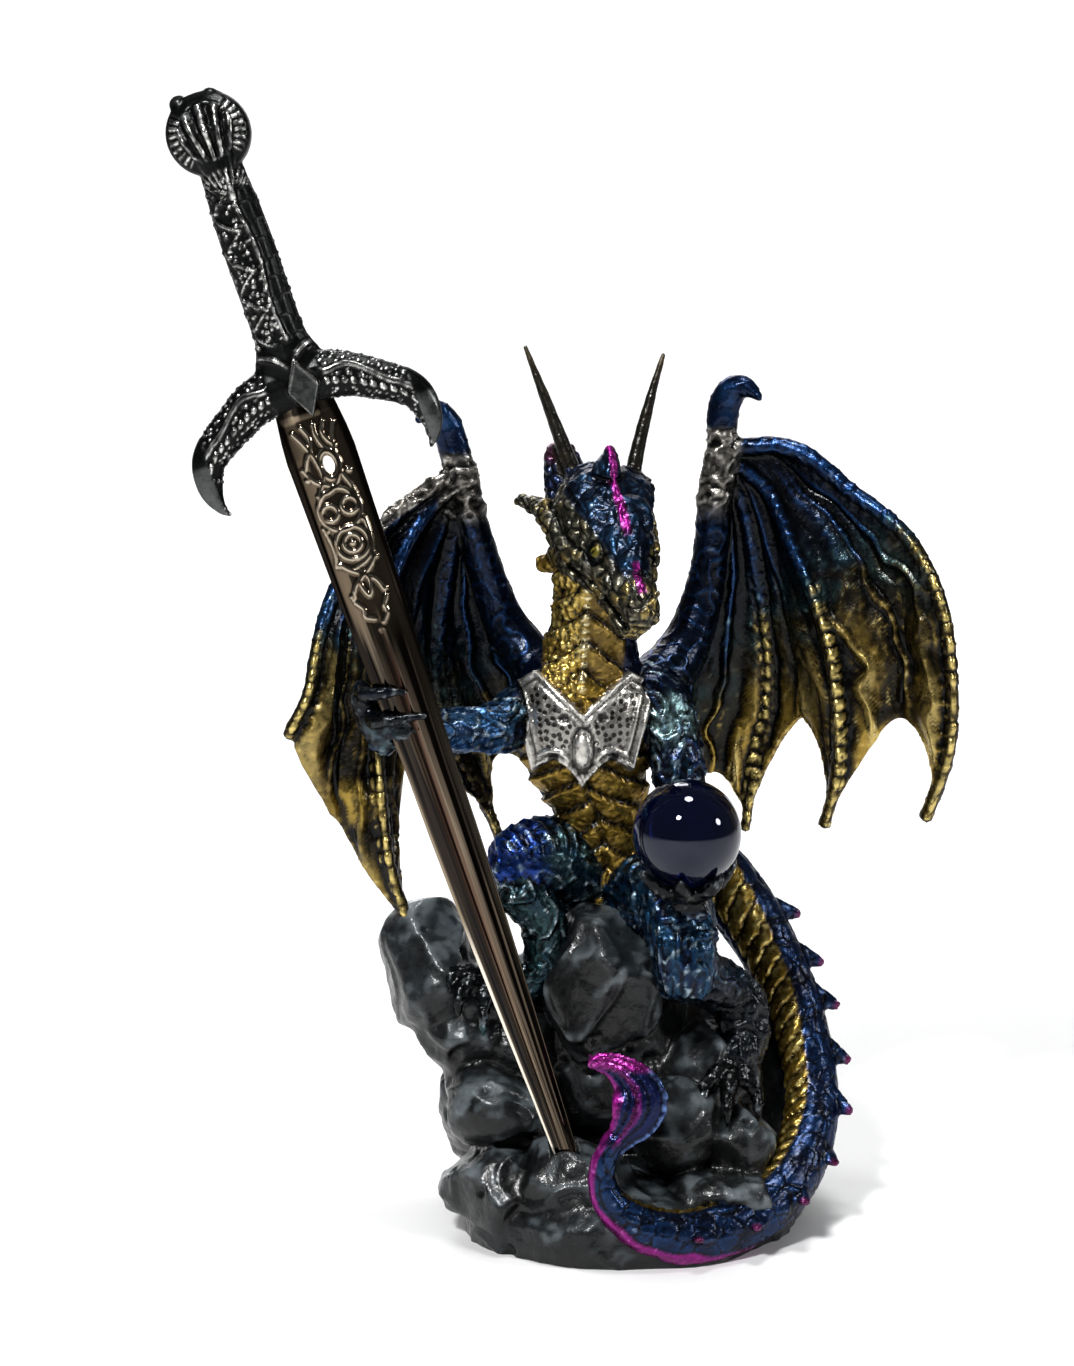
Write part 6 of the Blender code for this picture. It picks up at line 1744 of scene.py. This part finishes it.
hilt_clay.limb(((0, -GRIP_DEEP * 0.8, GRIP_LENGTH - 4.5, GRIP_HALF * 0.25, GRIP_DEEP * 0.3),
                (0, -GRIP_DEEP * 0.9, GRIP_LENGTH + 1.0, GRIP_HALF * 0.62, GRIP_DEEP * 0.5),
                (0, -GRIP_DEEP * 0.8, POMMEL_TOP, GRIP_HALF * 0.92, GRIP_DEEP * 0.75),
                (0, 0, POMMEL_TOP + POMMEL_RADIUS * 0.75, GRIP_HALF * 1.05, GRIP_DEEP * 0.9)), FRONT)
for across, rise in ((-0.42, 0.84), (-0.04, 0.72), (0.32, 0.78)):
    x = across * POMMEL_RADIUS
    hilt_clay.limb(((x * 0.2, -GRIP_DEEP, GRIP_LENGTH + 1.0, 1.0, 1.0),
                    (x * 0.7, -GRIP_DEEP * 1.25, POMMEL_TOP, 1.4, 1.3),
                    (x, -GRIP_DEEP * 0.4, POMMEL_TOP + POMMEL_RADIUS * rise * 0.9, 1.7, 1.6)), FRONT)
    hilt_clay.ball((x, -GRIP_DEEP * 0.35, POMMEL_TOP + POMMEL_RADIUS * rise), 1.75)
hilt = fused("sword_hilt_cast", hilt_clay, HILT_VOXEL)

# %% Carve the hilt
points, normals = read_skin(hilt)
x, y, z = points.T
front = ease(-y, 0.6, 1.6)
grip = ease(z, 7.5, 8.5) * fade(z, GRIP_LENGTH - 2, GRIP_LENGTH)
keel = 0.9 + 0.35 * np.sin(z * 0.33)
spine = peak(x - keel, 0.5) * 0.8
round_dots = dots(points * (1.0, 0.6, 1.0), 1.05, seed=7)
pebbled = 0.46 * fade(round_dots, 0.14, 0.5) - 0.14
leaf_row = z / 3.4
leaf = scales(leaf_row, (x - keel) / 3.0)
leafed = 0.3 * (leaf - 0.5)
curl = peak(np.abs(np.sin(z * 0.45)) * 3.4 + x + 0.2, 0.34) * (x < 0.2) * 0.4
grip_lift = np.where(x < keel, pebbled + curl, leafed) + spine
collar_way = np.abs(z - (3.4 + 1.25 * np.abs(x) - 0.12 * x * x))
collar = peak(collar_way, 0.55) * fade(z, 9, 11) * fade(np.abs(x), 4.6, 5.4)
arm = ease(np.abs(x), 4.6, 5.6) * fade(np.abs(x), 18.6, 19.2) * fade(z, 5, 6)
spans, downs, _ = np.array(GUARD_ROWS[:6]).T
slope = -np.interp(np.abs(x) / GUARD_HALF_SPAN, spans, downs) * GUARD_DROP
rise = (z - slope) / 3.4
scroll = np.abs(rise - 0.42 - 0.22 * np.sin(np.abs(x) * 0.55 + 2.2))
scroll_lift = 0.45 * fade(scroll, 0.1, 0.24)
bead_row = np.hypot(np.mod(np.abs(x), 1.5) - 0.75, (rise + 0.32) * 3.0)
bead_rows = 0.5 * fade(bead_row, 0.35, 0.72)
fine_dots = 0.26 * fade(dots(points, 0.85, seed=9), 0.12, 0.5) * ease(np.abs(rise + 0.32), 0.3, 0.36)
bead_rows = bead_rows + fine_dots * ease(scroll, 0.2, 0.3)
arm_lift = scroll_lift + bead_rows - 0.18
lozenge = np.abs(x - JEWEL_SIDE) / 2.9 + np.abs(z + 0.8) / 5.3
boss = fade(lozenge, 0.9, 1.04) * ease(-y, 1.2, 2)
beside_boss = ease(lozenge, 1.15, 1.5)
claw = ease(np.abs(x), 18.8, 19.2) * ease(-z, 7.5, 8.5)
disc_way = np.hypot(x, z - POMMEL_TOP)
disc = ease(disc_way, 4.6, 5.2) * ease(z, GRIP_LENGTH - 1, GRIP_LENGTH + 1)
notch = np.cos(np.arctan2(z - POMMEL_TOP, x) * 30)
sideways = ease(np.abs(x) / np.maximum(disc_way, 0.1), 0.62, 0.78) * fade(disc_way, 6.4, 6.8)
notch_lift = (0.36 * ease(notch, -0.3, 0.5) - 0.26) * sideways
crown = ease(z, GRIP_LENGTH - 5, GRIP_LENGTH - 2) * (1 - disc) * front
fan_out = np.abs(x) / np.maximum(z - (GRIP_LENGTH - 6.5), 1.0)
crown_lift = 0.42 * np.cos(fan_out * 40.0) * ease(z, GRIP_LENGTH - 4, GRIP_LENGTH - 1)
crown_lift += 0.12 * wobble(points, 1.3, 2)
lift = grip_lift * grip * front + grip * (1 - front) * pebbled * 0.6
lift = lift + collar * 0.55 * front * beside_boss + arm * (1 - collar) * arm_lift * (1 - grip) * (1 - boss)
lift = lift * (1 - disc) + notch_lift * disc * (1 - grip) + crown_lift * crown
lift = lift * (1 - boss)
lift = lift * (1 - claw) + 0.05 * wobble(points, 2, 2) * claw
cast = points + normals * lift[:, None]
cast[:, 1] += (-3.95 - cast[:, 1]) * boss
press(hilt, cast)
fine, broad = relief_map(hilt, 3), relief_map(hilt, 12)
hilt_smooth = np.maximum(boss, claw)
speck = wobble(points, 1.2, 2, seed=31)
hilt.data.transform(hilt_place)

# %% Blacken and rub the hilt
coat = Coat(len(points), "#101111", 0.7)
coat.lay(ease(fine, 0.015, 0.07) * 0.85, "#4b4c4b", 0.95)
coat.lay(ease(fine, 0.04, 0.11) * ease(speck, -0.6, 0.3), "#b4b5b0", 1.0)
coat.lay(ease(fine, 0.07, 0.13) * ease(speck, -0.2, 0.4) * 0.9, "#ecece8", 1.0)
coat.lay(ease(-fine, 0, 0.05) * 0.95, "#040404", 0.3)
coat.lay(hilt_smooth * 0.85, "#565857", 0.9)
coat.lay(front * fade(np.abs(lozenge - 0.95), 0.06, 0.14) * (y < -3.0) * 0.9, "#b9bab5", 0.95)


def antique_pewter():
    """Cast pewter, blackened in its hollows. Satin, with a fine tooth from the mould."""
    return painted_resin("antique_pewter", 0.6, 0.04, 0.28, 0.0)


finished(hilt, coat, antique_pewter(), "sword_hilt")
print("Hilt finished:", len(hilt.data.polygons), "faces")

# %% [markdown]
# ## The glass orb
# A marble of clear deep blue glass. It takes nothing but an even ball with a few air
# bubbles frozen in it. Their walls face inwards, so the light bends the right way.

# %% Blow the orb
def glass_ball(radius, middle, cuts):
    """A ball made from a cube whose corners are rounded away."""
    only()
    bpy.ops.mesh.primitive_cube_add(size=radius * 2, location=tuple(middle))
    ball = bpy.context.active_object
    bpy.ops.object.transform_apply(location=True)
    apply_modifier(ball, "SUBSURF", levels=cuts, render_levels=cuts)
    points, _ = read_skin(ball)
    press(ball, middle + unit(points - middle) * radius)
    return ball


orb = glass_ball(ORB_RADIUS, orb_middle, 5)
orb.name = "glass_orb_clear"
BUBBLES = (((3.0, 1.0, 2.5), 0.32), ((-2.4, 2.0, -1.0), 0.22), ((0.6, 3.0, 4.2), 0.18),
           ((-4.0, -1.0, 3.0), 0.16), ((2.0, 4.0, -3.6), 0.24))
bubbles = [glass_ball(radius, orb_middle + np.array(offset), 2) for offset, radius in BUBBLES]
for bubble in bubbles:
    bubble.data.flip_normals()
only(orb, *bubbles)
bpy.context.view_layer.objects.active = orb
bpy.ops.object.join()


def blue_glass():
    """Solid blue glass. Deep because its colour adds up over 19 mm, with a bright skin."""
    material, shader = new_material("blue_glass")
    tree = material.node_tree
    shader.inputs["Transmission Weight"].default_value = 0.85
    shader.inputs["IOR"].default_value = 1.5
    shader.inputs["Specular Tint"].default_value = (*linear("#e2e8ff"), 1.0)
    shader.inputs["Roughness"].default_value = 0.02
    place = add_node(material, "TexCoord")
    cloud = add_node(material, "TexNoise",
                     {"Scale": 90.0, "Detail": 2.0}, {"Vector": place.outputs["Object"]})
    tint = add_node(material, "Mix", None, {"Factor": cloud.outputs[0]}, data_type="RGBA")
    tint.inputs[6].default_value = (*linear("#04081f"), 1.0)
    tint.inputs[7].default_value = (*linear("#0a1648"), 1.0)
    tree.links.new(tint.outputs[2], shader.inputs["Base Color"])
    return material


orb.data.materials.clear()
orb.data.materials.append(blue_glass())
orb.data.transform(Matrix.Scale(MM, 4))
orb.data.shade_smooth()
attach(orb, "root")
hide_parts("glass_orb")
print("Orb:", len(orb.data.polygons), "faces")

# %% [markdown]
# ## Floor and light
# A pale floor, a pale backdrop and five soft lights. The key light hangs in front, above
# and to the left. One overhead and one from the right lift the wings, and one behind
# draws the edges. The last lights the backdrop, which the polished blade mirrors. One
# strong lamp would be simpler, but varnish and chrome show little except what surrounds
# them.

# %% A pale floor
only()
bpy.ops.mesh.primitive_plane_add(size=24.0)
floor = bpy.context.active_object
floor.name = "studio_floor"
floor_paint, floor_shader = new_material("pale_floor")
floor_shader.inputs["Roughness"].default_value = 0.9
floor_shader.inputs["Base Color"].default_value = (*linear("#e4e4e4"), 1.0)
floor.data.materials.append(floor_paint)
floor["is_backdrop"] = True

only()
bpy.ops.mesh.primitive_plane_add(size=12.0, location=(0.0, 1.9, 6.0), rotation=(math.pi / 2, 0.0, 0.0))
backdrop = bpy.context.active_object
backdrop.name = "studio_backdrop"
backdrop.data.materials.append(floor_paint)
backdrop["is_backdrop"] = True


def softbox(name, place, target, size, power):
    """A round area light at a place, turned to a target. All in metres."""
    bpy.ops.object.light_add(type="AREA", location=place)
    lamp = bpy.context.active_object
    lamp.name = name
    lamp.data.shape = "DISK"
    lamp.data.size = size
    lamp.data.energy = power
    lamp.rotation_euler = (Vector(place) - Vector(target)).to_track_quat("Z", "Y").to_euler()
    return lamp


middle = (-0.02, 0.0, 0.1)
softbox("key_from_above", (-0.27, -0.62, 0.68), middle, 0.12, 8.5)
softbox("overhead", (0.05, -0.05, 0.95), middle, 0.2, 4.0)
softbox("side_from_right", (0.85, -0.25, 0.45), middle, 0.18, 2.5)
softbox("back_light", (-0.3, 0.8, 0.6), middle, 0.5, 4.0)
softbox("light_on_the_backdrop", (0.0, 1.15, 1.1), (0.0, 1.75, 0.0), 1.1, 24.0)
world = bpy.data.worlds.new("studio_air")
bpy.context.scene.world = world
world.use_nodes = True
world.node_tree.nodes["Background"].inputs["Color"].default_value = (*linear("#c8ccd2"), 1.0)
world.node_tree.nodes["Background"].inputs["Strength"].default_value = 0.16
bpy.context.scene.view_settings.view_transform = "Standard"
print("Lights placed")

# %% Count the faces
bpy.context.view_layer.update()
total = sum(len(piece.data.polygons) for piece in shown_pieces())
print("Faces in all:", total)
